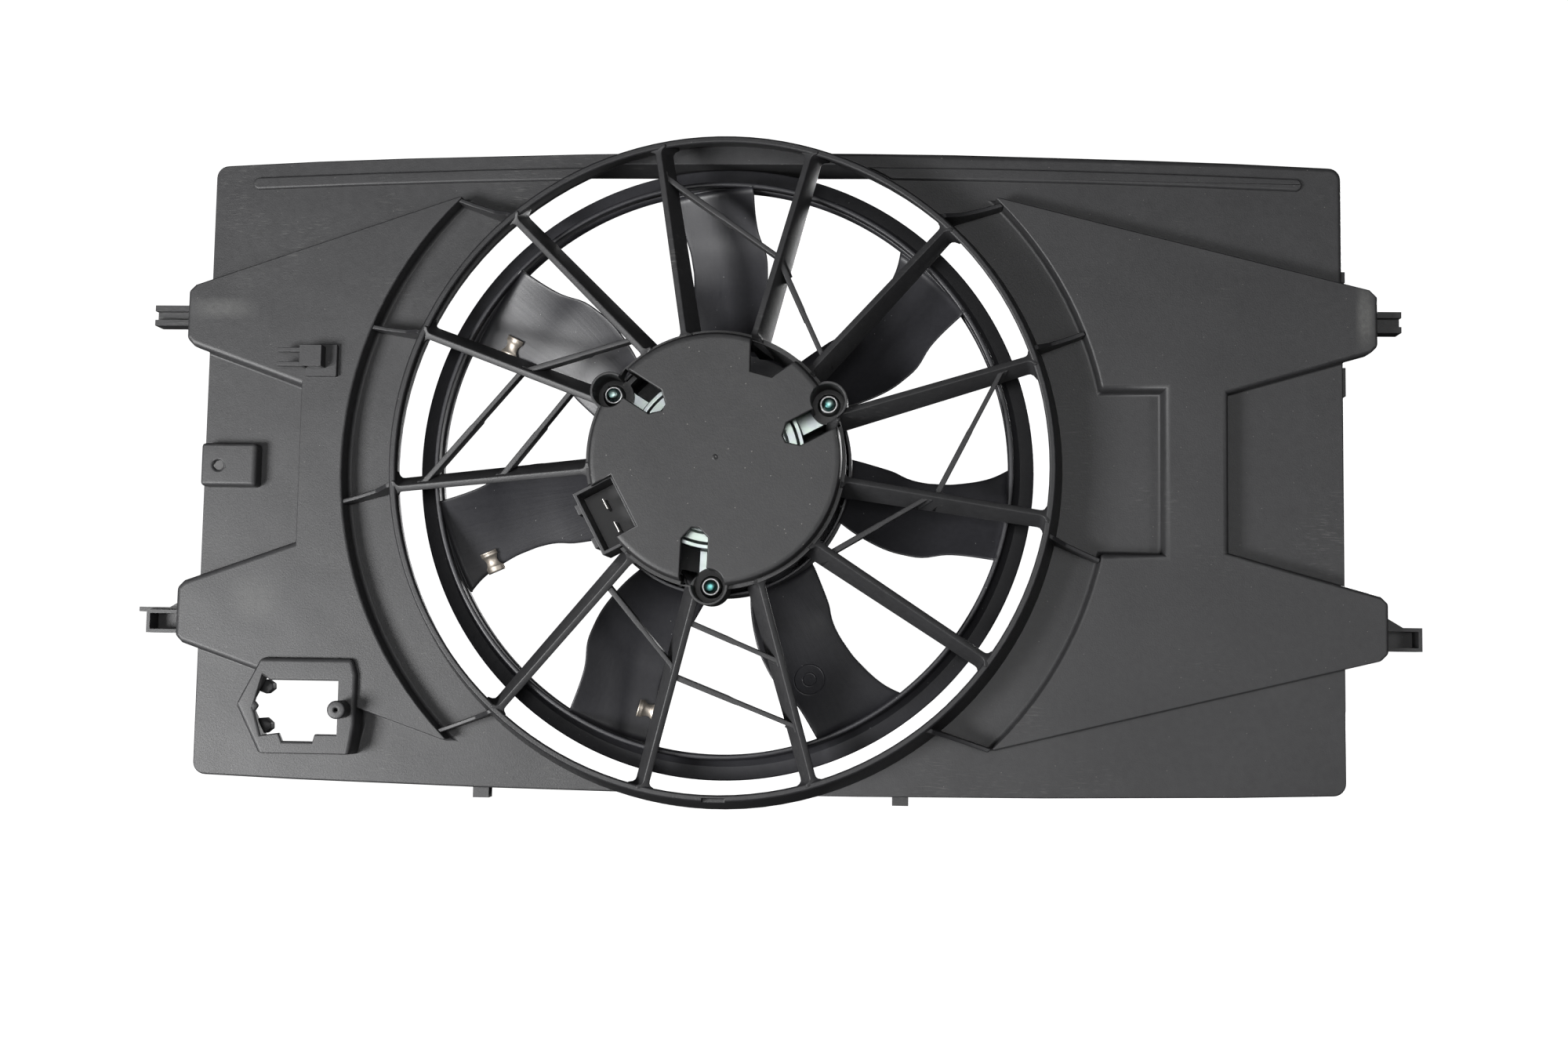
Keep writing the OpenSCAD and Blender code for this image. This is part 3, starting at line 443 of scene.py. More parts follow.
# Rubbed places: centre, half size and how pale each is
rubbedPlaces = (
    ((352.0, 87.0), (4.0, 15.0), 1.1),
    ((-261.0, -77.0), (12.0, 11.0), 0.5),
    ((-286.0, 88.0), (16.0, 5.0), 0.6),
)
shroudNylon = nylonMaterial("shroudNylon", nylonFinish, rubbed=rubbedPlaces)
# Darker copy of the shroud nylon for the guard ring: painted shade, standing in for the shadow on the ring's
# inner walls
paintedShadeRingNylon = nylonMaterial("paintedShadeRingNylon", {
    **nylonFinish, "dark": (0.009, 0.009, 0.010), "light": (0.030, 0.030, 0.032)}, marks=0.3)
carrierNylon = nylonMaterial("carrierNylon", {
    **nylonFinish, "dark": (0.010, 0.010, 0.011), "light": (0.044, 0.044, 0.045), "grain": 1900.0},
    marks=0.25, specks=0.07, gate=(0.5, 0.3))
connectorNylon = nylonMaterial("connectorNylon", {
    **nylonFinish, "dark": (0.030, 0.030, 0.032), "light": (0.045, 0.045, 0.047),
    "roughness": (0.40, 0.52), "grain": 3000.0, "grainDepth": 0.00002}, marks=0.1, specks=0.03)
fanNylon = fanMaterial("fanNylon", fanFinish)
copperWire = copperWireMaterial("copperWire", copperEnamel)

# Metals: dark and light tone, the range of their roughness, then the marks of their making
zincPlate = metalMaterial("zincPlate", (0.20, 0.22, 0.23), (0.40, 0.43, 0.44), (0.26, 0.40),
                          tint=(0.30, 0.35, 0.32))
brightZinc = metalMaterial("brightZinc", (0.26, 0.27, 0.28), (0.46, 0.46, 0.45), (0.28, 0.42), pitch=5200.0)
tealZinc = metalMaterial("tealZinc", (0.03, 0.22, 0.22), (0.16, 0.42, 0.40), (0.26, 0.42), pitch=4200.0,
                         tint=(0.34, 0.46, 0.43))
clipSteel = metalMaterial("clipSteel", (0.52, 0.46, 0.40), (0.70, 0.64, 0.56), (0.42, 0.58), pitch=900.0)
groundSteel = metalMaterial("groundSteel", (0.55, 0.56, 0.57), (0.74, 0.74, 0.74), (0.12, 0.24),
                            pitch=6400.0)
tinnedBrass = metalMaterial("tinnedBrass", (0.30, 0.30, 0.29), (0.46, 0.45, 0.43), (0.3, 0.45), pitch=4000.0)
copperBars = metalMaterial("copperBars", (0.60, 0.26, 0.12), (0.86, 0.46, 0.26), (0.16, 0.3), pitch=5000.0)

# Powders and sheets: the same, then the size and the depth of their grain
sinteredBronze = powderMaterial("sinteredBronze", (0.30, 0.17, 0.07), (0.48, 0.31, 0.14), (0.4, 0.6),
                                5200.0, 0.00004)
coreSteel = powderMaterial("coreSteel", (0.08, 0.08, 0.085), (0.17, 0.17, 0.18), (0.34, 0.5),
                           2600.0, 0.00002, layers=0.00025)
ferrite = powderMaterial("ferrite", (0.035, 0.035, 0.038), (0.07, 0.07, 0.074), (0.5, 0.68),
                         2100.0, 0.00005)
carbonBlock = powderMaterial("carbonBlock", (0.012, 0.012, 0.013), (0.035, 0.035, 0.036), (0.45, 0.6),
                             3300.0, 0.00003)
cardLaminate = powderMaterial("cardLaminate", (0.16, 0.075, 0.025), (0.27, 0.14, 0.05), (0.35, 0.5),
                              1200.0, 0.00002)
print("materials ready")


# Mesh helpers

def newPiece(name, mesh, material):
    piece = bpy.data.objects.new(name, mesh)
    scene.collection.objects.link(piece)
    mesh.materials.clear()
    mesh.materials.append(material)
    return piece


def finishPiece(piece, body, slotName, *nodeNames):
    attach(piece, body)
    if nodeNames:
        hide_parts(*nodeNames)


# Turns the evaluated piece into a plain mesh and drops its modifiers
def settle(piece):
    graph = bpy.context.evaluated_depsgraph_get()
    mesh = bpy.data.meshes.new_from_object(
        piece.evaluated_get(graph), preserve_all_data_layers=True, depsgraph=graph)
    piece.modifiers.clear()
    piece.data = mesh
    return piece


def inDrawing(point):
    return Vector((point.x, point.z, -point.y)) / millimetre


# Narrows the roundings until each fits the faces beside it, and keeps them even along a gentle bend
def fitWidths(bm, widths, rounds=14, share=0.7, slack=0.2, sliver=0.02, straight=3.12):
    for turn in range(rounds):
        for face in bm.faces:
            for loop in face.loops:
                own = widths.get(loop.edge, 0.0)
                need, involved = 0.0, [loop.edge]
                for corner, near in ((loop, loop.link_loop_prev.edge),
                                     (loop.link_loop_next, loop.link_loop_next.edge)):
                    beside = widths.get(near, 0.0)
                    angle = corner.calc_angle()
                    if not corner.is_convex or angle < sliver or angle > straight:
                        continue
                    if own and beside:
                        need += max(own, beside) / tan(angle / 2)
                    elif own:
                        need += max(0.0, own / tan(angle))
                    else:
                        need += beside / sin(angle)
                    involved.append(near)
                room = loop.edge.calc_length() / millimetre * share
                if need > room:
                    for edge in involved:
                        if edge in widths:
                            widths[edge] *= room / need
        for face in bm.faces:
            for loop in face.loops:
                pair = (loop.edge, loop.link_loop_prev.edge)
                if all(edge in widths for edge in pair):
                    shorter = min(edge.calc_length() for edge in pair) / millimetre
                    spare = slack * shorter * abs(sin(loop.calc_angle()))
                    limit = min(widths[edge] for edge in pair) + spare
                    for edge in pair:
                        widths[edge] = min(widths[edge], limit)


# Rounded copies: what is merged, what counts as flat or sharp, and a line too close beside an edge
rounding = {
    "merge": 2e-5, "flat": radians(0.5), "graze": radians(3.5), "sharp": radians(28.0),
    "shadedSharp": radians(40), "segments": 3,
}


# A joining line inside a flat face that leaves one of its corners close beside a real edge
def grazes(line):
    if line.calc_face_angle(1.0) > rounding["flat"]:
        return False
    for corner in line.verts:
        away = line.other_vert(corner).co - corner.co
        for edge in corner.link_edges:
            if edge is not line and edge.calc_face_angle(1.0) > rounding["flat"]:
                if away.angle(edge.other_vert(corner).co - corner.co, 0.0) < rounding["graze"]:
                    return True
    return False


# Copy of a CAD node with its doubles merged and its edges rounded by widthOf(a, b, convex)
def roundedCopy(nodeName, pieceName, material, widthOf):
    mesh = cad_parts[nodeName].data.copy()
    for name in [a.name for a in mesh.attributes if a.name in ("custom_normal", "sharp_edge", "sharp_face")]:
        mesh.attributes.remove(mesh.attributes[name])
    bm = bmesh.new()
    bm.from_mesh(mesh)
    merge, flat = rounding["merge"], rounding["flat"]
    bmesh.ops.remove_doubles(bm, verts=bm.verts, dist=merge)
    bmesh.ops.dissolve_degenerate(bm, dist=merge, edges=bm.edges)
    bmesh.ops.dissolve_limit(bm, angle_limit=flat, verts=[], edges=[e for e in bm.edges if grazes(e)])
    bmesh.ops.dissolve_limit(bm, angle_limit=flat, verts=bm.verts, edges=bm.edges)
    weight = bm.edges.layers.float.new("bevel_weight_edge")
    widths = {}
    for edge in bm.edges:
        if len(edge.link_faces) == 2 and edge.calc_face_angle(0.0) > rounding["sharp"]:
            a, b = (inDrawing(v.co) for v in edge.verts)
            width = widthOf(a, b, edge.is_convex)
            if width:
                widths[edge] = width
    fitWidths(bm, widths)
    widest = max(widths.values())
    for edge, width in widths.items():
        edge[weight] = width / widest
    bm.to_mesh(mesh)
    bm.free()
    piece = newPiece(pieceName, mesh, material)
    bevel = piece.modifiers.new("roundEdges", "BEVEL")
    bevel.limit_method = "WEIGHT"
    bevel.width = widest * millimetre
    bevel.segments = rounding["segments"]
    bevel.use_clamp_overlap = False
    settle(piece)
    # No rounding reaches past the solid's own box
    low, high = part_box(nodeName)
    for vertex in piece.data.vertices:
        vertex.co = [min(max(c, least), most) for c, least, most in zip(vertex.co, low, high)]
    piece.data.polygons.foreach_set("use_smooth", [True] * len(piece.data.polygons))
    piece.data.set_sharp_from_angle(angle=rounding["shadedSharp"])
    shading = piece.modifiers.new("evenShading", "WEIGHTED_NORMAL")
    shading.keep_sharp = True
    return settle(piece)


# Closed surface through rings of equal length: its ends are capped, or joined when looped
def loft(rings, looped=False):
    bm = bmesh.new()
    rows = [[bm.verts.new(p) for p in ring] for ring in rings]
    count = len(rows[0])
    for low, high in zip(rows, rows[1:] + (rows[:1] if looped else [])):
        for i in range(count):
            j = (i + 1) % count
            bm.faces.new((low[i], low[j], high[j], high[i]))
    if not looped:
        bm.faces.new(list(reversed(rows[0])))
        bm.faces.new(rows[-1])
    bmesh.ops.recalc_face_normals(bm, faces=bm.faces)
    for face in bm.faces:
        face.smooth = True
    mesh = bpy.data.meshes.new("loft")
    bm.to_mesh(mesh)
    bm.free()
    return mesh


def polarPoint(radius, angle, z):
    return Vector((radius * cos(angle), radius * sin(angle), z))


def circleOf(radius, z, count):
    return [polarPoint(radius, 2 * pi * i / count, z) for i in range(count)]


# Replaces each corner of a closed outline by an arc of the radius given for it
def roundedOutline(corners, steps=4, edgeShare=0.49):
    points = []
    for i, (x, y, radius) in enumerate(corners):
        here = Vector((x, y))
        back = Vector(corners[i - 1][:2]) - here
        ahead = Vector(corners[(i + 1) % len(corners)][:2]) - here
        if radius <= 0:
            points.append(here)
            continue
        half = back.angle(ahead) / 2
        reach = min(radius / tan(half), back.length * edgeShare, ahead.length * edgeShare)
        fitted = reach * tan(half)
        centre = here + (back.normalized() + ahead.normalized()).normalized() * (fitted / sin(half))
        start = here + back.normalized() * reach - centre
        end = here + ahead.normalized() * reach - centre
        for k in range(steps + 1):
            points.append(centre + start.slerp(end, k / steps, start))
    return points


# Turns a closed outline of (radius, z) points round the fan's axis
def lathe(outline, turns):
    angles = [2 * pi * k / turns for k in range(turns)]
    return loft([[polarPoint(r, a, z) for r, z in outline] for a in angles], looped=True)


# Geometry Nodes: runs a tree on a mesh with named inputs and settles the result
def growPiece(name, mesh, tree, inputs):
    piece = bpy.data.objects.new(name, mesh)
    scene.collection.objects.link(piece)
    modifier = piece.modifiers.new(tree.name, "NODES")
    modifier.node_group = tree
    for item in tree.interface.items_tree:
        if item.in_out == "INPUT" and item.name in inputs:
            modifier[item.identifier] = inputs[item.name]
    settle(piece)
    piece.data.transform(standUp)
    return piece


# Puts a part on every point and makes the copies real
def copiesOn(tree, points, part, inputs=None):
    many = addNode(tree, "GeometryNodeInstanceOnPoints", {
        "Points": points, "Instance": part, **(inputs or {})})
    return addNode(tree, "GeometryNodeRealizeInstances", {"Geometry": many.outputs[0]}).outputs[0]


def stored(tree, name, kind="FLOAT"):
    node = addNode(tree, "GeometryNodeInputNamedAttribute", {"Name": name}, data_type=kind)
    return node.outputs["Attribute"]


# Last nodes of a tree: smooth shading where it is asked for, then the material
def dressShape(tree, given, out, shape, smooth=False):
    if smooth:
        shape = addNode(tree, "GeometryNodeSetShadeSmooth", {"Geometry": shape}).outputs[0]
    dressed = addNode(tree, "GeometryNodeSetMaterial", {"Geometry": shape, "Material": given["Material"]})
    feed(tree, out["Geometry"], dressed.outputs[0])
    return tree


# One copy of a part on every mark, turned as the mark's attribute says
def copiesTree():
    tree, given, out = newTree("copiesOnMarks", "GeometryNodeTree", [
        ("Geometry", "Geometry", None), ("Part", "Object", None), ("Size", "Float", 1.0),
        ("Material", "Material", None)], [("Geometry", "Geometry")])
    part = addNode(tree, "GeometryNodeObjectInfo", {"Object": given["Part"]})
    shape = copiesOn(tree, given["Geometry"], part.outputs["Geometry"], {
        "Rotation": stored(tree, "turn", "FLOAT_VECTOR"), "Scale": joinXyz(tree, *[given["Size"]] * 3)})
    return dressShape(tree, given, out, shape)


def growCopies(name, partMesh, places, material):
    marks = bpy.data.meshes.new(name + "Marks")
    marks.vertices.add(len(places))
    turns = marks.attributes.new("turn", "FLOAT_VECTOR", "POINT").data
    for vertex, item, place in zip(marks.vertices, turns, places):
        vertex.co = place.to_translation()
        item.vector = place.to_euler()
    part = bpy.data.objects.new(name + "Part", partMesh)
    scene.collection.objects.link(part)
    piece = growPiece(name, marks, copies, {"Part": part, "Material": material})
    bpy.data.objects.remove(part)
    return piece


# Straight moulded beams, one for each vertex: its attributes hold where the beam starts and ends
def beamTree():
    tree, given, out = newTree("mouldedBeams", "GeometryNodeTree", [
        ("Geometry", "Geometry", None), ("Thickness", "Float", 3.4), ("Corner", "Float", 0.9),
        ("Fillet", "Float", 3.0), ("Embed", "Float", 1.2), ("Lean", "Float", 0.0),
        ("Step", "Float", 0.0), ("Stations", "Int", 48), ("Sides", "Int", 20),
        ("Material", "Material", None)], [("Geometry", "Geometry")])
    tube = addNode(tree, "GeometryNodeMeshCylinder", {
        "Vertices": given["Sides"], "Side Segments": given["Stations"], "Radius": 1.0, "Depth": 1.0})
    halfStep = calc(tree, "DIVIDE", pi, given["Sides"])
    turned = addNode(tree, "GeometryNodeTransform", {
        "Geometry": tube.outputs["Mesh"], "Rotation": joinXyz(tree, 0.0, 0.0, halfStep)})
    blanks = copiesOn(tree, given["Geometry"], turned.outputs[0])
    x, y, z = splitXyz(tree, tree.nodes.new("GeometryNodeInputPosition").outputs[0])
    start, end = stored(tree, "beamStart", "FLOAT_VECTOR"), stored(tree, "beamEnd", "FLOAT_VECTOR")
    share = plus(tree, z, 0.5)
    way = eased(tree, share)
    run = vec(tree, "SUBTRACT", end, start)
    length = vec(tree, "LENGTH", run)
    axis = vec(tree, "NORMALIZE", run)
    side = vec(tree, "NORMALIZE", vec(tree, "CROSS_PRODUCT", (0.0, 0.0, 1.0), axis))
    up = vec(tree, "CROSS_PRODUCT", axis, side)
    leanSin, leanCos = calc(tree, "SINE", given["Lean"]), calc(tree, "COSINE", given["Lean"])
    raised = vec(tree, "ADD", vec(tree, "SCALE", side, leanSin), vec(tree, "SCALE", up, leanCos))
    down = vec(tree, "SCALE", raised, -1.0)
    across = vec(tree, "SUBTRACT", vec(tree, "SCALE", up, leanSin), vec(tree, "SCALE", side, leanCos))
    along = times(tree, way, length)
    # Round fillet where the beam meets what carries it
    gap = minus(tree, calc(tree, "MINIMUM", along, minus(tree, length, along)), given["Embed"])
    flare = filletFlare(tree, gap, given["Fillet"])
    thinner = minus(tree, 1.0, times(tree, calc(tree, "GREATER_THAN", share, 0.5), given["Step"]))
    halfThick = plus(tree, times(tree, times(tree, given["Thickness"], thinner), 0.5), flare)
    depth = blendTo(tree, stored(tree, "startDepth"), stored(tree, "endDepth"), way)
    halfDeep = times(tree, plus(tree, times(tree, depth, thinner), flare), 0.5)

    def cornered(unit, half):
        flat = times(tree, calc(tree, "SIGN", unit), minus(tree, half, given["Corner"]))
        return plus(tree, flat, times(tree, unit, given["Corner"]))

    below = minus(tree, halfDeep, cornered(y, halfDeep))
    slope = blendTo(tree, stored(tree, "startShear"), stored(tree, "endShear"), way)
    forward = plus(tree, along, times(tree, slope, below))
    place = vec(tree, "ADD", start, vec(tree, "SCALE", axis, forward))
    place = vec(tree, "ADD", place, vec(tree, "SCALE", down, below))
    place = vec(tree, "ADD", place, vec(tree, "SCALE", across, cornered(x, halfThick)))
    moved = addNode(tree, "GeometryNodeSetPosition", {"Geometry": blanks, "Position": place})
    return dressShape(tree, given, out, moved.outputs[0], smooth=True)


def beamPoints(name, beams):
    mesh = bpy.data.meshes.new(name)
    mesh.vertices.add(len(beams))
    for key, kind in (("beamStart", "FLOAT_VECTOR"), ("beamEnd", "FLOAT_VECTOR"), ("startDepth", "FLOAT"),
                      ("endDepth", "FLOAT"), ("startShear", "FLOAT"), ("endShear", "FLOAT")):
        data = mesh.attributes.new(key, kind, "POINT").data
        for item, beam in zip(data, beams):
            if kind == "FLOAT":
                item.value = beam[key]
            else:
                item.vector = beam[key]
    return mesh


vanes = {
    "hubAngles": (22, 44.5, 74, 106, 124, 154, 186, 231, 264, 292, 321, 352),
    "rimAngles": (19.5, 47.5, 75, 102, 131, 157, 185, 229, 258, 287.5, 325, 352),
    "hubRadius": 69.5, "rimRadius": 178.9, "innerEnd": 64.5, "outerEnd": 189.0,
    "hubHeight": 80.0, "rimHeight": 58.2, "hubDepth": 17.0, "rimDepth": 13.0,
    "thickness": 3.8, "lean": 26.0, "fillet": 3.0, "corner": 0.75, "embed": 1.6, "ringSlope": 0.22,
    "skirtSlope": -0.16,
}
wells = {
    "from": 67.5, "angles": (28, 148, 268), "cutRadius": 9.6, "cutBottom": 55.0, "cutTop": 95.0, "sides": 64,
}
braces = {
    # The vane and the share of the way to the ring at each end
    "ends": (((3, 0.873), (2, 0.434)), ((2, 0.434), (1, 0.096)), ((5, 0.452), (4, 0.105)),
             ((6, 0.882), (5, 0.452)), ((6, 0.462), (5, 0.169)), ((7, 0.178), (8, 0.416)),
             ((8, 0.169), (9, 0.407)), ((8, 0.443), (9, 0.736)), ((10, 0.087), (11, 0.434)),
             ((11, 0.452), (0, 0.864))),
    "set": 2.0, "depth": 9.0, "thickness": 3.0, "step": 0.15, "fillet": 1.6, "corner": 0.5, "embed": 0.9,
}


def polar(radius, degrees):
    return Vector((radius * cos(radians(degrees)), radius * sin(radians(degrees)), 0.0))


def vaneHeight(radius):
    share = (radius - vanes["hubRadius"]) / (vanes["rimRadius"] - vanes["hubRadius"])
    return vanes["hubHeight"] + (vanes["rimHeight"] - vanes["hubHeight"]) * share


# Point on the front edge of vane i at the given radius
def vanePoint(i, radius):
    inner = polar(vanes["innerEnd"], vanes["hubAngles"][i])
    outer = polar(vanes["outerEnd"], vanes["rimAngles"][i])
    share = (radius - vanes["innerEnd"]) / (vanes["outerEnd"] - vanes["innerEnd"])
    point = inner.lerp(outer, share)
    point.z = vaneHeight(radius)
    return point


def vaneBeams():
    beams = []
    for i in range(len(vanes["hubAngles"])):
        beams.append({
            "beamStart": vanePoint(i, vanes["hubRadius"] - vanes["embed"]),
            "beamEnd": vanePoint(i, vanes["rimRadius"] + vanes["embed"]),
            "startDepth": vanes["hubDepth"], "endDepth": vanes["rimDepth"],
            "startShear": vanes["skirtSlope"], "endShear": vanes["ringSlope"]})
    return beams


def braceBeams():
    beams = []
    span = vanes["rimRadius"] - vanes["hubRadius"]
    for ends in braces["ends"]:
        points, shears = [], []
        for i, share in ends:
            points.append(vanePoint(i, vanes["hubRadius"] + span * share) - Vector((0, 0, braces["set"])))
        heading = (points[1] - points[0]).normalized()
        for i, share in ends:
            inner = polar(vanes["innerEnd"], vanes["hubAngles"][i])
            run = polar(vanes["outerEnd"], vanes["rimAngles"][i]) - inner
            side = Vector((-run.y, run.x, 0)).normalized()
            shears.append(-tan(radians(vanes["lean"])) / heading.dot(side))
        back = heading * braces["set"]
        beams.append({
            "beamStart": points[0] + back * shears[0], "beamEnd": points[1] + back * shears[1],
            "startDepth": braces["depth"], "endDepth": braces["depth"],
            "startShear": shears[0], "endShear": shears[1]})
    return beams


# Cuts the three nut wells out of a piece, in the drawing's own millimetres
def clearWells(piece):
    bm = bmesh.new()
    sides = wells["sides"]
    for angle in wells["angles"]:
        place = Matrix.Translation(polar(wells["from"], angle))
        rows = [[bm.verts.new(place @ v) for v in circleOf(wells["cutRadius"], z, sides)]
                for z in (wells["cutBottom"], wells["cutTop"])]
        bm.faces.new(list(reversed(rows[0])))
        bm.faces.new(rows[1])
        for i in range(sides):
            j = (i + 1) % sides
            bm.faces.new((rows[0][i], rows[0][j], rows[1][j], rows[1][i]))
    mesh = bpy.data.meshes.new("wellCutter")
    bm.to_mesh(mesh)
    bm.free()
    mesh.transform(standUp)
    cutter = bpy.data.objects.new("wellCutter", mesh)
    scene.collection.objects.link(cutter)
    cut = piece.modifiers.new("clearWells", "BOOLEAN")
    cut.object = cutter
    cut.operation = "DIFFERENCE"
    cut.solver = "EXACT"
    settle(piece)
    bpy.data.objects.remove(cutter)


beams = beamTree()
copies = copiesTree()
statorVanes = growPiece("statorVanes", beamPoints("vanePoints", vaneBeams()), beams, {
    "Thickness": vanes["thickness"], "Corner": vanes["corner"], "Fillet": vanes["fillet"],
    "Embed": vanes["embed"], "Lean": radians(vanes["lean"]), "Material": shroudNylon})
clearWells(statorVanes)
finishPiece(statorVanes, "shroud", "shroud_plastic", "stator_vanes")
crossBraces = growPiece("crossBraces", beamPoints("bracePoints", braceBeams()), beams, {
    "Thickness": braces["thickness"], "Corner": braces["corner"], "Fillet": braces["fillet"],
    "Embed": braces["embed"], "Step": braces["step"], "Material": shroudNylon})
finishPiece(crossBraces, "shroud", "shroud_plastic", "cross_braces")
print("vanes and braces ready")


# Fan wheel
blade = {
    "count": 7, "rootRadius": 71.6, "tipRadius": 158.9, "midPlane": 33.0, "firstAngle": -1.2,
    "rootHeight": 25.0, "tipHeight": 18.0, "thickness": 2.6, "edgeShare": 0.4, "camber": 3.0,
    "leadSweep": (7.0, 1.8, -1.9, -1.2, 1.7), "trailSweep": (-23.0, -25.0, -23.4, -18.8, -16.9),
    "fillet": 3.2, "edgeRound": 0.45, "chordEase": 0.7, "spanEase": 0.8, "meshPoints": (25, 41, 3),
}


def sweepCurve(tree, share, values):
    low, high = min(values), max(values)
    node = addNode(tree, "ShaderNodeFloatCurve", {"Value": share})
    points = node.mapping.curves[0].points
    while len(points) < len(values):
        points.new(0.5, 0.5)
    for k, value in enumerate(values):
        points[k].location = (k / (len(values) - 1), (value - low) / (high - low))
    node.mapping.update()
    return plus(tree, low, times(tree, node.outputs[0], high - low))


def bladeTree():
    tree, given, out = newTree("wavyBlades", "GeometryNodeTree", [
        ("Geometry", "Geometry", None), ("Blade Count", "Int", 7), ("Root Radius", "Float", 70.0),
        ("Tip Radius", "Float", 159.0), ("Mid Plane", "Float", 33.0), ("First Angle", "Float", 0.0),
        ("Root Height", "Float", 25.0), ("Tip Height", "Float", 18.0), ("Thickness", "Float", 2.6),
        ("Camber", "Float", 3.0), ("Fillet", "Float", 3.0), ("Edge Round", "Float", 0.4),
        ("Material", "Material", None)], [("Geometry", "Geometry")])
    chordPoints, spanPoints, layers = blade["meshPoints"]
    block = addNode(tree, "GeometryNodeMeshCube", {
        "Size": (1.0, 1.0, 1.0), "Vertices X": chordPoints, "Vertices Y": spanPoints, "Vertices Z": layers})
    x, y, z = splitXyz(tree, tree.nodes.new("GeometryNodeInputPosition").outputs[0])
    chord, span = plus(tree, x, 0.5), plus(tree, y, 0.5)
    chord = blendTo(tree, chord, eased(tree, chord), blade["chordEase"])
    span = blendTo(tree, span, eased(tree, span), blade["spanEase"])
    layer = times(tree, z, 2.0)
    radius = blendTo(tree, given["Root Radius"], given["Tip Radius"], span)
    lead = sweepCurve(tree, span, blade["leadSweep"])
    trail = sweepCurve(tree, span, blade["trailSweep"])
    height = blendTo(tree, given["Root Height"], given["Tip Height"], span)
    bulge = times(tree, times(tree, chord, 4.0), minus(tree, 1.0, chord), clamp=True)
    # The middle layer stands out a little, which rounds the leading and trailing edges
    rim = minus(tree, 1.0, calc(tree, "ABSOLUTE", layer))
    outward = times(tree, calc(tree, "SIGN", minus(tree, chord, 0.5)), rim)
    spread = calc(tree, "DIVIDE", times(tree, outward, given["Edge Round"]), radius)
    angle = minus(tree, calc(tree, "RADIANS", blendTo(tree, lead, trail, chord)), spread)
    level = plus(tree, given["Mid Plane"], times(tree, height, minus(tree, chord, 0.5)))
    level = minus(tree, level, times(tree, given["Camber"], bulge))
    full = times(tree, 1.0 - blade["edgeShare"], calc(tree, "SQRT", bulge))
    thick = times(tree, given["Thickness"], plus(tree, blade["edgeShare"], full))
    gap = calc(tree, "MINIMUM", minus(tree, radius, given["Root Radius"]),
               minus(tree, given["Tip Radius"], radius))
    half = plus(tree, times(tree, thick, 0.5), filletFlare(tree, gap, given["Fillet"]))
    level = plus(tree, level, times(tree, half, layer))
    place = joinXyz(tree, times(tree, radius, calc(tree, "COSINE", angle)),
                    times(tree, radius, calc(tree, "SINE", angle)), level)
    moved = addNode(tree, "GeometryNodeSetPosition", {"Geometry": block.outputs["Mesh"], "Position": place})
    centres = addNode(tree, "GeometryNodePoints", {"Count": given["Blade Count"]})
    number = tree.nodes.new("GeometryNodeInputIndex").outputs[0]
    turn = times(tree, number, calc(tree, "DIVIDE", 2 * pi, given["Blade Count"]))
    turn = plus(tree, turn, given["First Angle"])
    wheel = copiesOn(tree, centres.outputs[0], moved.outputs[0], {"Rotation": joinXyz(tree, 0.0, 0.0, turn)})
    return dressShape(tree, given, out, wheel, smooth=True)


fanBlades = growPiece("fanBlades", bpy.data.meshes.new("bladeSeed"), bladeTree(), {
    "Blade Count": blade["count"], "Root Radius": blade["rootRadius"], "Tip Radius": blade["tipRadius"],
    "Mid Plane": blade["midPlane"], "First Angle": radians(blade["firstAngle"]),
    "Root Height": blade["rootHeight"], "Tip Height": blade["tipHeight"], "Thickness": blade["thickness"],
    "Camber": blade["camber"], "Fillet": blade["fillet"], "Edge Round": blade["edgeRound"],
    "Material": fanNylon})
finishPiece(fanBlades, "fan_rotor", "fan_plastic", "fan_blades")

band = {
    "inner": 158.5, "outer": 160.6, "flange": 173.6, "rear": 20.0, "front": 44.0, "turns": 192,
    "groove": 0.35, "grooveHalf": 0.5, "outerGroove": 8.5, "innerGroove": 5.5,
}


# Section of the band: a thin wall with a groove on each side and a flange at the rear
def bandOutline():
    inner, outer, flange, rear, front = (band[k] for k in ("inner", "outer", "flange", "rear", "front"))
    groove, half = band["groove"], band["grooveHalf"]
    outside, inside = front - band["outerGroove"], front - band["innerGroove"]
    return roundedOutline([
        (inner, front, 0.7), (outer, front, 0.7),
        (outer, outside + half, 0), (outer - groove, outside, 0), (outer, outside - half, 0),
        (outer, rear + 8.0, 2.0), (outer + 1.6, rear + 4.4, 1.5), (outer + 5.0, rear + 2.4, 2.0),
        (flange, rear + 2.0, 0.8), (flange, rear, 0.8), (outer + 4.0, rear, 1.5),
        (outer, rear + 1.4, 1.5), (inner, rear + 5.0, 1.5),
        (inner, inside + half, 0), (inner + groove, inside, 0), (inner, inside - half, 0)])


fanBand = newPiece("fanBand", lathe(bandOutline(), band["turns"]), fanNylon)
fanBand.data.transform(standUp)
finishPiece(fanBand, "fan_rotor", "fan_plastic", "fan_band")


hub = {
    "hiddenBelow": 20.0, "rimFrom": 66.0, "rimLevel": 48.0, "rimRound": 0.6,
    "cupRound": 0.8, "boreWithin": 12.0, "boreRound": 0.4,
}


# How wide an edge is rounded, by where it lies: each edge is given by its ends in the drawing
def hubWidth(a, b, convex):
    level = (a.z + b.z) / 2
    across = hypot(a.x, a.y)
    if level < hub["hiddenBelow"] or not convex:
        return 0.0
    if across > hub["rimFrom"] and level > hub["rimLevel"]:
        return hub["rimRound"]
    return hub["cupRound"] if across > hub["boreWithin"] else hub["boreRound"]


fanHub = roundedCopy("fan_hub", "fanHub", fanNylon, hubWidth)
finishPiece(fanHub, "fan_rotor", "fan_plastic", "fan_hub")
print("fan wheel ready")


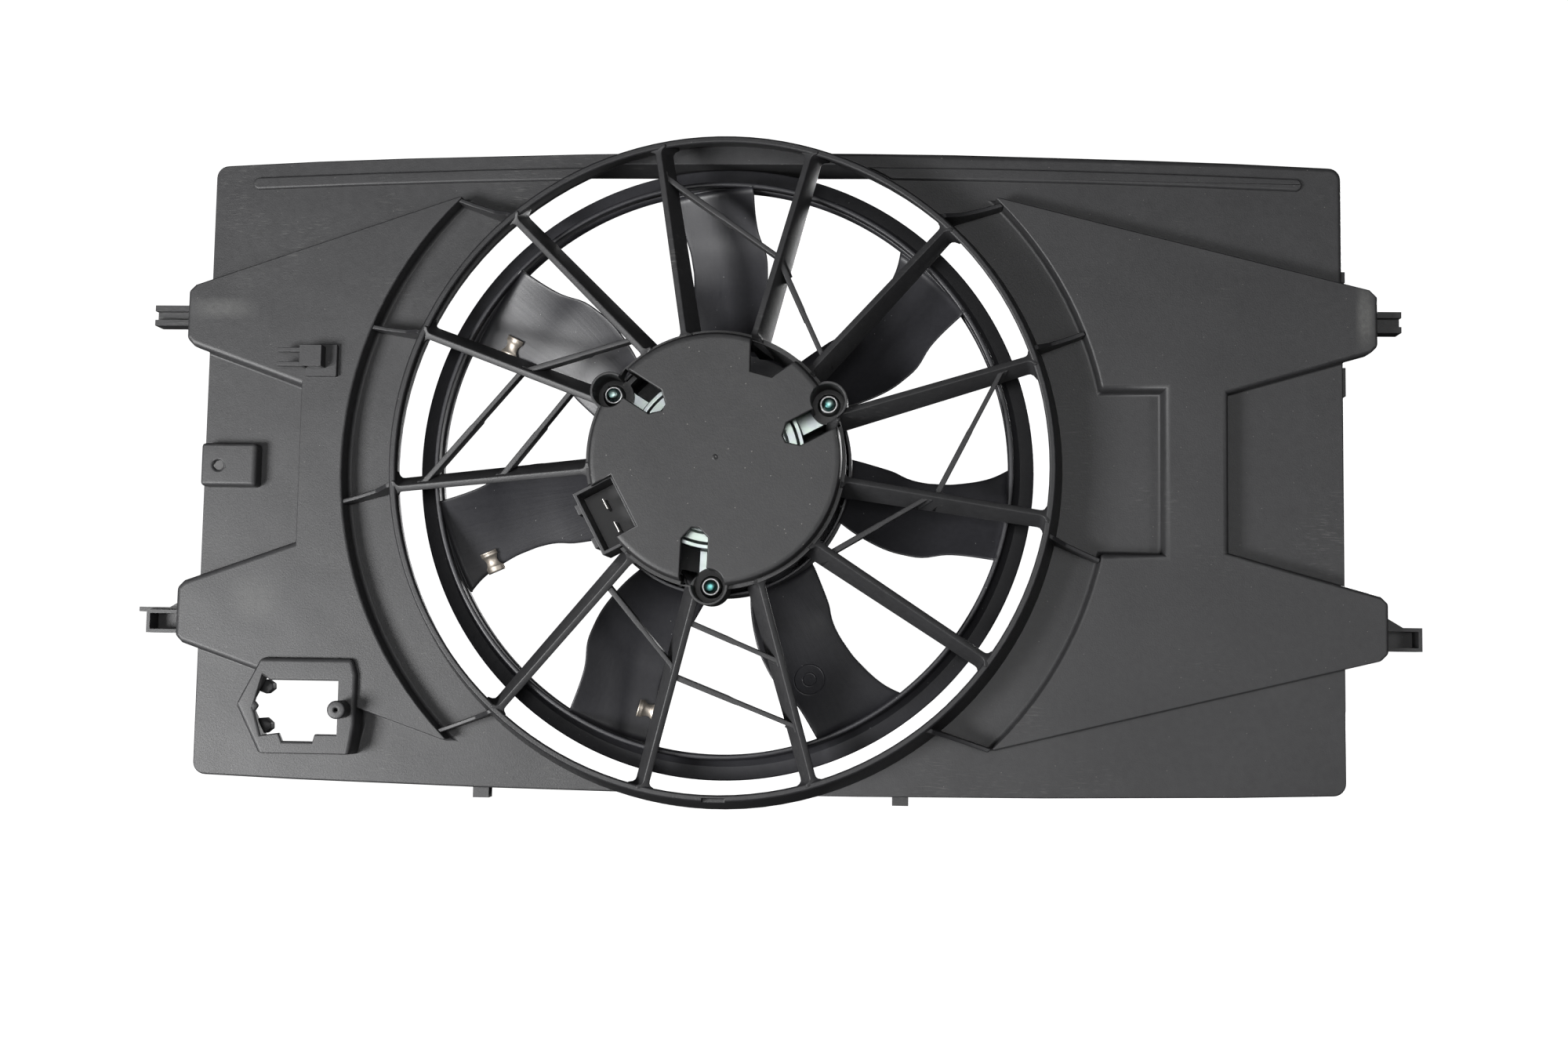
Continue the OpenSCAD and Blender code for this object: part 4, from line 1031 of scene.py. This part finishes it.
# Shroud panel
panel = {
    # Levels of its faces above the rim, and how near an edge has to be to count as on one
    "face": 30.0, "arms": 42.0, "seat": 46.0, "tab": 39.0, "bead": 32.0, "slack": 0.05,
    "sharpBelow": 0.1, "footAbove": 1.0,
    # Roundings
    "edgeRound": 5.5, "stepRound": 0.8, "footRound": 2.0, "outerFootRound": 1.0, "armRound": 3.6,
    "recessRound": 1.6, "seatRound": 2.4, "tabRound": 2.4, "tabInnerRound": 0.6, "beadRound": 1.8,
    "uprightRound": 2.2, "skirtRound": 1.2, "clipRound": 0.3, "smallRound": 0.6,
    # Where the outline, the arms and the tab begin
    "left": -292.0, "right": 338.0, "edge": 171.0, "armsFrom": 219.0, "tabTo": -262.0,
    # Places with a rule of their own: the harness clip, the screw post and the ring's ends
    "clipPlace": (-240.0, 60.0), "clipReach": (22.0, 16.0), "postPlace": (-207.5, -137.0), "postReach": 6.0,
    "tabFoot": (-255.0, 25.0), "beadFeet": (335.0, 158.0), "ringEnds": (80.0, 165.0),
}


def panelWidth(a, b, convex):
    middle = (a + b) / 2
    level, x, y = middle.z, middle.x, middle.y

    def on(name):
        return abs(level - panel[name]) < panel["slack"]

    # The hidden side stays sharp, and so do the feet of the raised forms and the screw post
    if level < panel["face"] - panel["sharpBelow"]:
        return 0.0
    if not convex and level > panel["face"] + panel["footAbove"]:
        return 0.0
    if not convex and abs(a.x) < panel["beadFeet"][0] and abs(a.y) > panel["beadFeet"][1]:
        return 0.0
    if not convex and x < panel["tabFoot"][0] and abs(y) < panel["tabFoot"][1]:
        return 0.0
    if hypot(x - panel["postPlace"][0], y - panel["postPlace"][1]) < panel["postReach"]:
        return 0.0
    byClip = all(abs(v - c) < r for v, c, r in zip((x, y), panel["clipPlace"], panel["clipReach"]))
    if byClip and level > panel["arms"] + panel["slack"]:
        return panel["clipRound"] if convex else 0.0
    if abs(x) < panel["ringEnds"][0] and abs(y) > panel["ringEnds"][1]:
        return panel["smallRound"]
    if abs(a.z - b.z) >= panel["slack"]:
        return panel["uprightRound"] if level > panel["face"] else panel["skirtRound"]
    if on("face"):
        outline = x < panel["left"] or x > panel["right"] or abs(y) > panel["edge"]
        if convex:
            return panel["edgeRound"] if outline else panel["stepRound"]
        return panel["outerFootRound"] if outline else panel["footRound"]
    if on("arms"):
        return panel["armRound"] if hypot(x, y) > panel["armsFrom"] else panel["recessRound"]
    if on("seat"):
        return panel["seatRound"]
    if on("tab") and convex:
        return panel["tabRound"] if x < panel["tabTo"] else panel["tabInnerRound"]
    return panel["beadRound"] if on("bead") else panel["smallRound"]


shroudPanel = roundedCopy("shroud_panel", "shroudPanel", shroudNylon, panelWidth)
finishPiece(shroudPanel, "shroud", "shroud_plastic", "shroud_panel")


# Hooks and stops round the module's window: outline, lower and upper level
windowTrim = {
    "upperHook": (((-257.1, -127.4, 0.4), (-254.1, -121.6, 0.6), (-249.6, -123.0, 1.6),
                   (-249.3, -127.2, 1.6), (-253.6, -129.2, 0.8)), 31.0, 37.5),
    "lowerHook": (((-257.7, -143.6, 0.4), (-254.0, -142.8, 0.8), (-249.8, -145.0, 1.6),
                   (-249.6, -149.4, 1.6), (-254.0, -151.0, 0.6)), 31.0, 37.5),
    "middleStop": (((-260.4, -131.8, 1.0), (-256.4, -132.0, 2.4), (-253.4, -135.6, 2.4),
                    (-256.0, -139.8, 2.4), (-260.0, -140.4, 1.0)), 43.6, 45.7),
    "lowerStop": (((-257.0, -154.4, 0.6), (-252.0, -150.9, 1.6), (-246.2, -151.0, 1.6),
                   (-243.8, -155.8, 0.6)), 43.6, 45.7),
}


def trimMesh(outline, low, high, soft=0.5):
    edge = roundedOutline(outline)
    middle = sum(edge, Vector((0, 0))) / len(edge)
    inner = [p + (middle - p).normalized() * soft for p in edge]
    rings = [(edge, low), (edge, high - soft), (inner, high)]
    return loft([[Vector((p.x, p.y, z)) for p in ring] for ring, z in rings])


for trimName, (outline, low, high) in windowTrim.items():
    piece = newPiece(trimName, trimMesh(outline, low, high), shroudNylon)
    piece.data.transform(standUp)
    finishPiece(piece, "shroud", "shroud_plastic")

# Smooth sleeve of the screw post beside the window
post = {"low": 44.0, "high": 58.1, "outer": 4.75, "bore": 1.6, "round": 0.7, "boreRound": 0.3, "turns": 48}
sleeve = lathe(roundedOutline([
    (post["bore"], post["low"], 0), (post["outer"], post["low"], 0),
    (post["outer"], post["high"], post["round"]), (post["bore"], post["high"], post["boreRound"])]),
    post["turns"])
screwPost = newPiece("screwPost", sleeve, shroudNylon)
screwPost.data.transform(standUp @ Matrix.Translation((*panel["postPlace"], 0)))
finishPiece(screwPost, "shroud", "shroud_plastic")


# Guard ring, motor carrier and connector
ring = {"front": 57.5, "flat": 0.3, "frontRound": 0.35, "outerRound": 0.6, "footRound": 1.2}
carrier = {
    "discLevel": 88.0, "discFrom": 66.5, "discRound": 2.4, "cutRound": 0.9,
    "topLevel": 82.0, "topRound": 0.5,
}
connector = {"edgeRound": 0.45}


def ringWidth(a, b, convex):
    if (a.z + b.z) / 2 > ring["front"] and abs(a.z - b.z) < ring["flat"]:
        return ring["frontRound"]
    return ring["outerRound"] if convex else ring["footRound"]


def carrierWidth(a, b, convex):
    level = (a.z + b.z) / 2
    if not convex or level < carrier["topLevel"]:
        return 0.0
    if level > carrier["discLevel"]:
        rim = min(hypot(a.x, a.y), hypot(b.x, b.y)) > carrier["discFrom"]
        return carrier["discRound"] if rim else carrier["cutRound"]
    return carrier["topRound"]


guardRing = roundedCopy("guard_ring", "guardRing", paintedShadeRingNylon, ringWidth)
finishPiece(guardRing, "shroud", "shroud_plastic", "guard_ring")
motorCarrier = roundedCopy("motor_carrier", "motorCarrier", carrierNylon, carrierWidth)
finishPiece(motorCarrier, "shroud", "shroud_plastic", "motor_carrier")
connectorBody = roundedCopy("connector_housing", "connectorBody", connectorNylon,
                            lambda a, b, convex: connector["edgeRound"])
finishPiece(connectorBody, "shroud", "connector_plastic", "connector_housing")
print("shroud ready")


# Nuts and studs in the three wells
nut = {
    "seat": 64.0, "height": 6.0, "flats": 10.0, "flange": 6.1, "flangeHeight": 1.4, "bore": 3.0,
    "chamfer": 0.9, "chamferSteps": 4, "crown": 4.7, "edge": 0.3, "slope": 0.4, "lead": (0.7, 0.6),
    "sides": 72,
}
stud = {
    "bottom": 55.5, "collar": 5.0, "collarTop": 58.0, "edge": 0.4, "radius": 3.0, "top": 74.0, "pitch": 1.0,
    "threadFrom": 68.0, "threadDepth": 0.45, "runIn": 0.2, "runOut": 0.5, "tip": 2.1, "tipEdge": 0.2,
    "tipFlat": 0.6, "sides": 40, "stepsPerTurn": 8,
}


def hexRing(flats, limit, z, count):
    points = []
    for i in range(count):
        a = 2 * pi * i / count
        side = flats / 2 / cos((a + pi / 6) % (pi / 3) - pi / 6)
        points.append(polarPoint(min(side, limit), a, z))
    return points


def nutMesh(form):
    top, bore, flange, rise = form["height"], form["bore"], form["flange"], form["flangeHeight"]
    flats, cut, edge, sides = form["flats"], form["chamfer"], form["edge"], form["sides"]
    corner = flats / 2 / cos(pi / 6)
    rings = [circleOf(bore, 0, sides), circleOf(flange - edge, 0, sides), circleOf(flange, edge, sides),
             circleOf(flange, rise - form["slope"], sides), hexRing(flats, corner, rise, sides),
             hexRing(flats, corner, top - cut, sides)]
    steps = form["chamferSteps"]
    for k in range(1, steps + 1):
        limit = corner + (form["crown"] - corner) * k / steps
        rings.append(hexRing(flats, limit, top - cut + cut * k / steps, sides))
    out, down = form["lead"]
    rings += [circleOf(bore + out, top, sides), circleOf(bore, top - down, sides)]
    return loft(rings, looped=True)


def studMesh(form):
    bottom, radius, pitch, top = form["bottom"], form["radius"], form["pitch"], form["top"]
    collar, edge, sides, each = form["collar"], form["edge"], form["sides"], form["stepsPerTurn"]
    rings = [circleOf(collar - edge, bottom, sides), circleOf(collar, bottom + edge, sides),
             circleOf(collar, form["collarTop"], sides), circleOf(radius, form["collarTop"], sides),
             circleOf(radius, form["threadFrom"] - form["runIn"], sides)]
    for k in range(int((top - form["runOut"] - form["threadFrom"]) / pitch * each) + 1):
        z = form["threadFrom"] + k * pitch / each
        ring = []
        for i in range(sides):
            turn = (z / pitch - i / sides) % 1.0
            depth = form["threadDepth"] * min(1.0, k / each) * abs(2 * turn - 1)
            ring.append(polarPoint(radius - depth, 2 * pi * i / sides, z))
        rings.append(ring)
    rings += [circleOf(form["tip"], top - form["tipEdge"], sides),
              circleOf(form["tip"] * form["tipFlat"], top, sides)]
    return loft(rings)


wellPlaces = [Matrix.Translation(polar(wells["from"], angle)) @ Matrix.Rotation(radians(angle), 4, "Z")
              for angle in wells["angles"]]
nutPlaces = [Matrix.Translation((0, 0, nut["seat"])) @ place for place in wellPlaces]
flangeNuts = growCopies("flangeNuts", nutMesh(nut), nutPlaces, brightZinc)
finishPiece(flangeNuts, "shroud", "bright_zinc", "flange_nuts")
studs = growCopies("mountingStuds", studMesh(stud), wellPlaces, tealZinc)
finishPiece(studs, "shroud", "teal_zinc", "mounting_studs")


# Folded spring clips: a waisted strip bent round a blade's leading edge
clip = {
    "radius": 140.9, "blades": (3, 4, 5), "out": 0.9, "length": 11.6, "gap": 1.85, "sheet": 0.6,
    "halfWidth": 4.7, "waist": 3.3, "waistFrom": 2.8, "waistTo": 8.8, "lip": 0.35, "lipBend": 0.6,
    "lipLength": 1.3, "fold": 0.7, "camberTilt": 3.2, "upperSteps": 16, "foldSteps": 8, "lowerSteps": 4,
}


def clipMesh(form):
    gap, sheet, end, lip = form["gap"], form["sheet"], form["length"], form["lipLength"]
    upperSteps, foldSteps, lowerSteps = form["upperSteps"], form["foldSteps"], form["lowerSteps"]
    upper = [(-end, gap + form["lip"]), (-end + form["lipBend"], gap + form["lip"] / 2), (-end + lip, gap)]
    upper += [(-end + lip + (end - lip) * k / upperSteps, gap) for k in range(1, upperSteps + 1)]
    turns = [pi * k / foldSteps for k in range(1, foldSteps)]
    fold = [(form["fold"] * sin(a), gap * cos(a)) for a in turns]
    lower = [(-end * k / lowerSteps, -gap) for k in range(lowerSteps + 1)]
    path = upper + fold + lower
    rings = []
    for k, (y, z) in enumerate(path):
        before, after = path[max(k - 1, 0)], path[min(k + 1, len(path) - 1)]
        along = Vector((after[0] - before[0], after[1] - before[1])).normalized()
        across = Vector((-along.y, along.x)) * sheet / 2
        share = (-y - form["waistFrom"]) / (form["waistTo"] - form["waistFrom"])
        narrow = sin(pi * min(max(share, 0.0), 1.0)) ** 0.5 if z > 0 else 0.0
        half = form["halfWidth"] + (form["waist"] - form["halfWidth"]) * narrow
        rings.append([Vector((side * half, y + s * across.x, z + s * across.y))
                      for side, s in ((-1, -1), (1, -1), (1, 1), (-1, 1))])
    return loft(rings)


def sweepAt(values, share):
    place = share * (len(values) - 1)
    k = min(int(place), len(values) - 2)
    return values[k] + (values[k + 1] - values[k]) * (place - k)


def clipPlaces():
    share = (clip["radius"] - blade["rootRadius"]) / (blade["tipRadius"] - blade["rootRadius"])
    lead, trail = sweepAt(blade["leadSweep"], share), sweepAt(blade["trailSweep"], share)
    height = blade["rootHeight"] + (blade["tipHeight"] - blade["rootHeight"]) * share
    chord = clip["radius"] * radians(lead - trail)
    pitch = atan2(height - clip["camberTilt"] * blade["camber"], chord)
    places = []
    for k in clip["blades"]:
        turn = radians(blade["firstAngle"] + k * 360 / blade["count"] + lead)
        edge = Vector((clip["radius"], clip["out"], blade["midPlane"] - height / 2))
        onBlade = Matrix.Translation(edge) @ Matrix.Rotation(-pitch, 4, "X")
        places.append(Matrix.Rotation(turn, 4, "Z") @ onBlade)
    return places


balanceClips = growCopies("balanceClips", clipMesh(clip), clipPlaces(), clipSteel)
finishPiece(balanceClips, "fan_rotor", "spring_steel", "balance_clips")


# Coil springs behind the brushes
spring = {
    "start": 24.2, "length": 12.0, "level": 68.5, "radius": 1.75, "wire": 0.34, "turns": 9.0,
    "stepsPerTurn": 20, "wireSides": 8,
}


def springTree():
    tree, given, out = newTree("coilSprings", "GeometryNodeTree", [
        ("Geometry", "Geometry", None), ("Radius", "Float", 1.75), ("Wire", "Float", 0.34),
        ("Length", "Float", 12.0), ("Turns", "Float", 9.0), ("Material", "Material", None)],
        [("Geometry", "Geometry")])
    coil = addNode(tree, "GeometryNodeCurveSpiral", {
        "Resolution": spring["stepsPerTurn"], "Rotations": given["Turns"], "Start Radius": given["Radius"],
        "End Radius": given["Radius"], "Height": given["Length"]})
    wire = addNode(tree, "GeometryNodeCurvePrimitiveCircle", {
        "Resolution": spring["wireSides"], "Radius": given["Wire"]})
    tube = addNode(tree, "GeometryNodeCurveToMesh", {
        "Curve": coil.outputs[0], "Profile Curve": wire.outputs[0], "Fill Caps": True})
    pair = copiesOn(tree, given["Geometry"], tube.outputs[0], {
        "Rotation": stored(tree, "turn", "FLOAT_VECTOR")})
    return dressShape(tree, given, out, pair)


springMarks = bpy.data.meshes.new("springMarks")
springMarks.vertices.add(2)
springTurns = springMarks.attributes.new("turn", "FLOAT_VECTOR", "POINT").data
for side, vertex, item in zip((1, -1), springMarks.vertices, springTurns):
    vertex.co = (side * spring["start"], 0, spring["level"])
    item.vector = (0, side * pi / 2, 0)
brushSprings = growPiece("brushSprings", springMarks, springTree(), {
    "Radius": spring["radius"], "Wire": spring["wire"], "Length": spring["length"],
    "Turns": spring["turns"], "Material": clipSteel})
finishPiece(brushSprings, "shroud", "spring_steel", "brush_springs")

# Motor shell and plate, hub nut, terminals and bearings with their edges broken
softened = {
    "motor_can": ("motorCan", zincPlate, "plated_steel", "shroud", 0.7),
    "motor_end_plate": ("motorEndPlate", zincPlate, "plated_steel", "shroud", 0.5),
    "terminals": ("terminalBlades", tinnedBrass, "tinned_brass", "shroud", 0.22),
    "hub_nut": ("hubNut", brightZinc, "bright_zinc", "fan_rotor", 0.4),
    "front_bearing": ("frontBearing", sinteredBronze, "sintered_bronze", "shroud", 0.4),
    "rear_bearing": ("rearBearing", sinteredBronze, "sintered_bronze", "shroud", 0.4),
}
for nodeName, (pieceName, material, slotName, body, width) in softened.items():
    piece = roundedCopy(nodeName, pieceName, material, lambda a, b, convex: width)
    finishPiece(piece, body, slotName, nodeName)
print("metal parts ready")


# Finishes of the nodes that keep their CAD shape
nodeFinish = {
    "field_magnets": ferrite, "brush_card": cardLaminate, "carbon_brushes": carbonBlock,
    "motor_shaft": groundSteel, "armature_core": coreSteel, "armature_windings": copperWire,
    "commutator": copperBars, "thrust_washers": groundSteel,
}
for nodeName, material in nodeFinish.items():
    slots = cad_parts[nodeName].data.materials
    slots.clear()
    slots.append(material)


# Studio
studio = {
    "cameraPlace": (0.086, -1.0, -0.105), "cameraTurn": (4.48, 3.01, 0.80), "lens": 40.0, "sensor": 36.0,
    "sweepFlat": 2.6, "sweepRadius": 1.4, "sweepTop": 5.5, "sweepSides": 64, "sweepSteps": 16,
    "paper": ((0.86, 0.86, 0.86), (0.89, 0.89, 0.89)), "paperClouds": 1.2, "paperRoughness": 0.85,
    "sweepGlow": 1.0, "worldStrength": 0.02,
}
# Each soft light: where it hangs, what it faces, its width and height, and its power
softLights = {
    "lowLeftBox": ((-1.05, -1.20, -0.44), (-0.28, 0.0, -0.14), (0.6, 0.5), 36.0),
    "underBox": ((-0.3, -1.5, -0.95), (-0.05, 0.0, 0.0), (0.9, 0.5), 2.5),
    "frontBox": ((0.0, -2.8, 0.05), (0.0, 0.0, 0.0), (0.9, 0.7), 17.0),
    "rightBox": ((1.3, -1.6, 0.0), (0.2, 0.0, 0.0), (0.4, 0.8), 5.0),
    "backBox": ((1.15, 2.1, 0.6), (0.0, 0.0, 0.0), (0.7, 0.6), 30.0),
}


def addCamera():
    data = bpy.data.cameras.new("camera")
    data.lens = studio["lens"]
    data.sensor_width = studio["sensor"]
    camera = bpy.data.objects.new("camera", data)
    scene.collection.objects.link(camera)
    turn = Vector(radians(t) for t in studio["cameraTurn"])
    facing = Matrix.Rotation(pi / 2, 3, "X") @ Quaternion(turn.normalized(), turn.length).to_matrix()
    camera.location = studio["cameraPlace"]
    camera.rotation_euler = facing.to_euler()
    scene.camera = camera


# Pale floor that sweeps up all round the fan
def addSweep():
    flat, radius = studio["sweepFlat"], studio["sweepRadius"]
    sides, steps = studio["sweepSides"], studio["sweepSteps"]
    ground = cadBox[0].z
    profile = []
    for k in range(steps + 1):
        a = pi / 2 * k / steps
        profile.append((flat + radius * sin(a), ground + radius * (1 - cos(a))))
    profile.append((flat + radius, studio["sweepTop"]))
    turns = [2 * pi * k / sides for k in range(sides)]
    points = [(r * cos(t), r * sin(t), z) for r, z in profile for t in turns]
    faces = [tuple(range(sides))]
    for ring in range(len(profile) - 1):
        low, high = ring * sides, (ring + 1) * sides
        for k in range(sides):
            after = (k + 1) % sides
            faces.append((low + after, low + k, high + k, high + after))
    mesh = bpy.data.meshes.new("sweep")
    mesh.from_pydata(points, [], faces)
    mesh.polygons.foreach_set("use_smooth", [True] * len(faces))
    material, tree, shader, place = newMaterial("palePaper")
    cloud = noise(tree, place, studio["paperClouds"], 2.0)
    feed(tree, shader.inputs["Base Color"], mixColour(tree, *studio["paper"], cloud))
    shader.inputs["Roughness"].default_value = studio["paperRoughness"]
    shader.inputs["Emission Color"].default_value = (1.0, 1.0, 1.0, 1.0)
    shader.inputs["Emission Strength"].default_value = studio["sweepGlow"]
    mesh.materials.append(material)
    sweep = bpy.data.objects.new("sweep", mesh)
    scene.collection.objects.link(sweep)
    sweep.visible_diffuse = False
    sweep.visible_glossy = False
    sweep.visible_shadow = False


def addSoftLight(name, place, aim, size, power):
    data = bpy.data.lights.new(name, "AREA")
    data.shape = "RECTANGLE"
    data.size, data.size_y = size
    data.energy = power
    light = bpy.data.objects.new(name, data)
    scene.collection.objects.link(light)
    light.location = place
    light.rotation_euler = (Vector(aim) - Vector(place)).to_track_quat("-Z", "Y").to_euler()
    light.visible_camera = False


addCamera()
addSweep()
for lightName, settings in softLights.items():
    addSoftLight(lightName, *settings)
world = bpy.data.worlds.new("softStudio")
world.use_nodes = True
world.node_tree.nodes["Background"].inputs["Color"].default_value = (1.0, 1.0, 1.0, 1.0)
world.node_tree.nodes["Background"].inputs["Strength"].default_value = studio["worldStrength"]
scene.world = world
scene.view_settings.view_transform = "Standard"
print("studio ready")
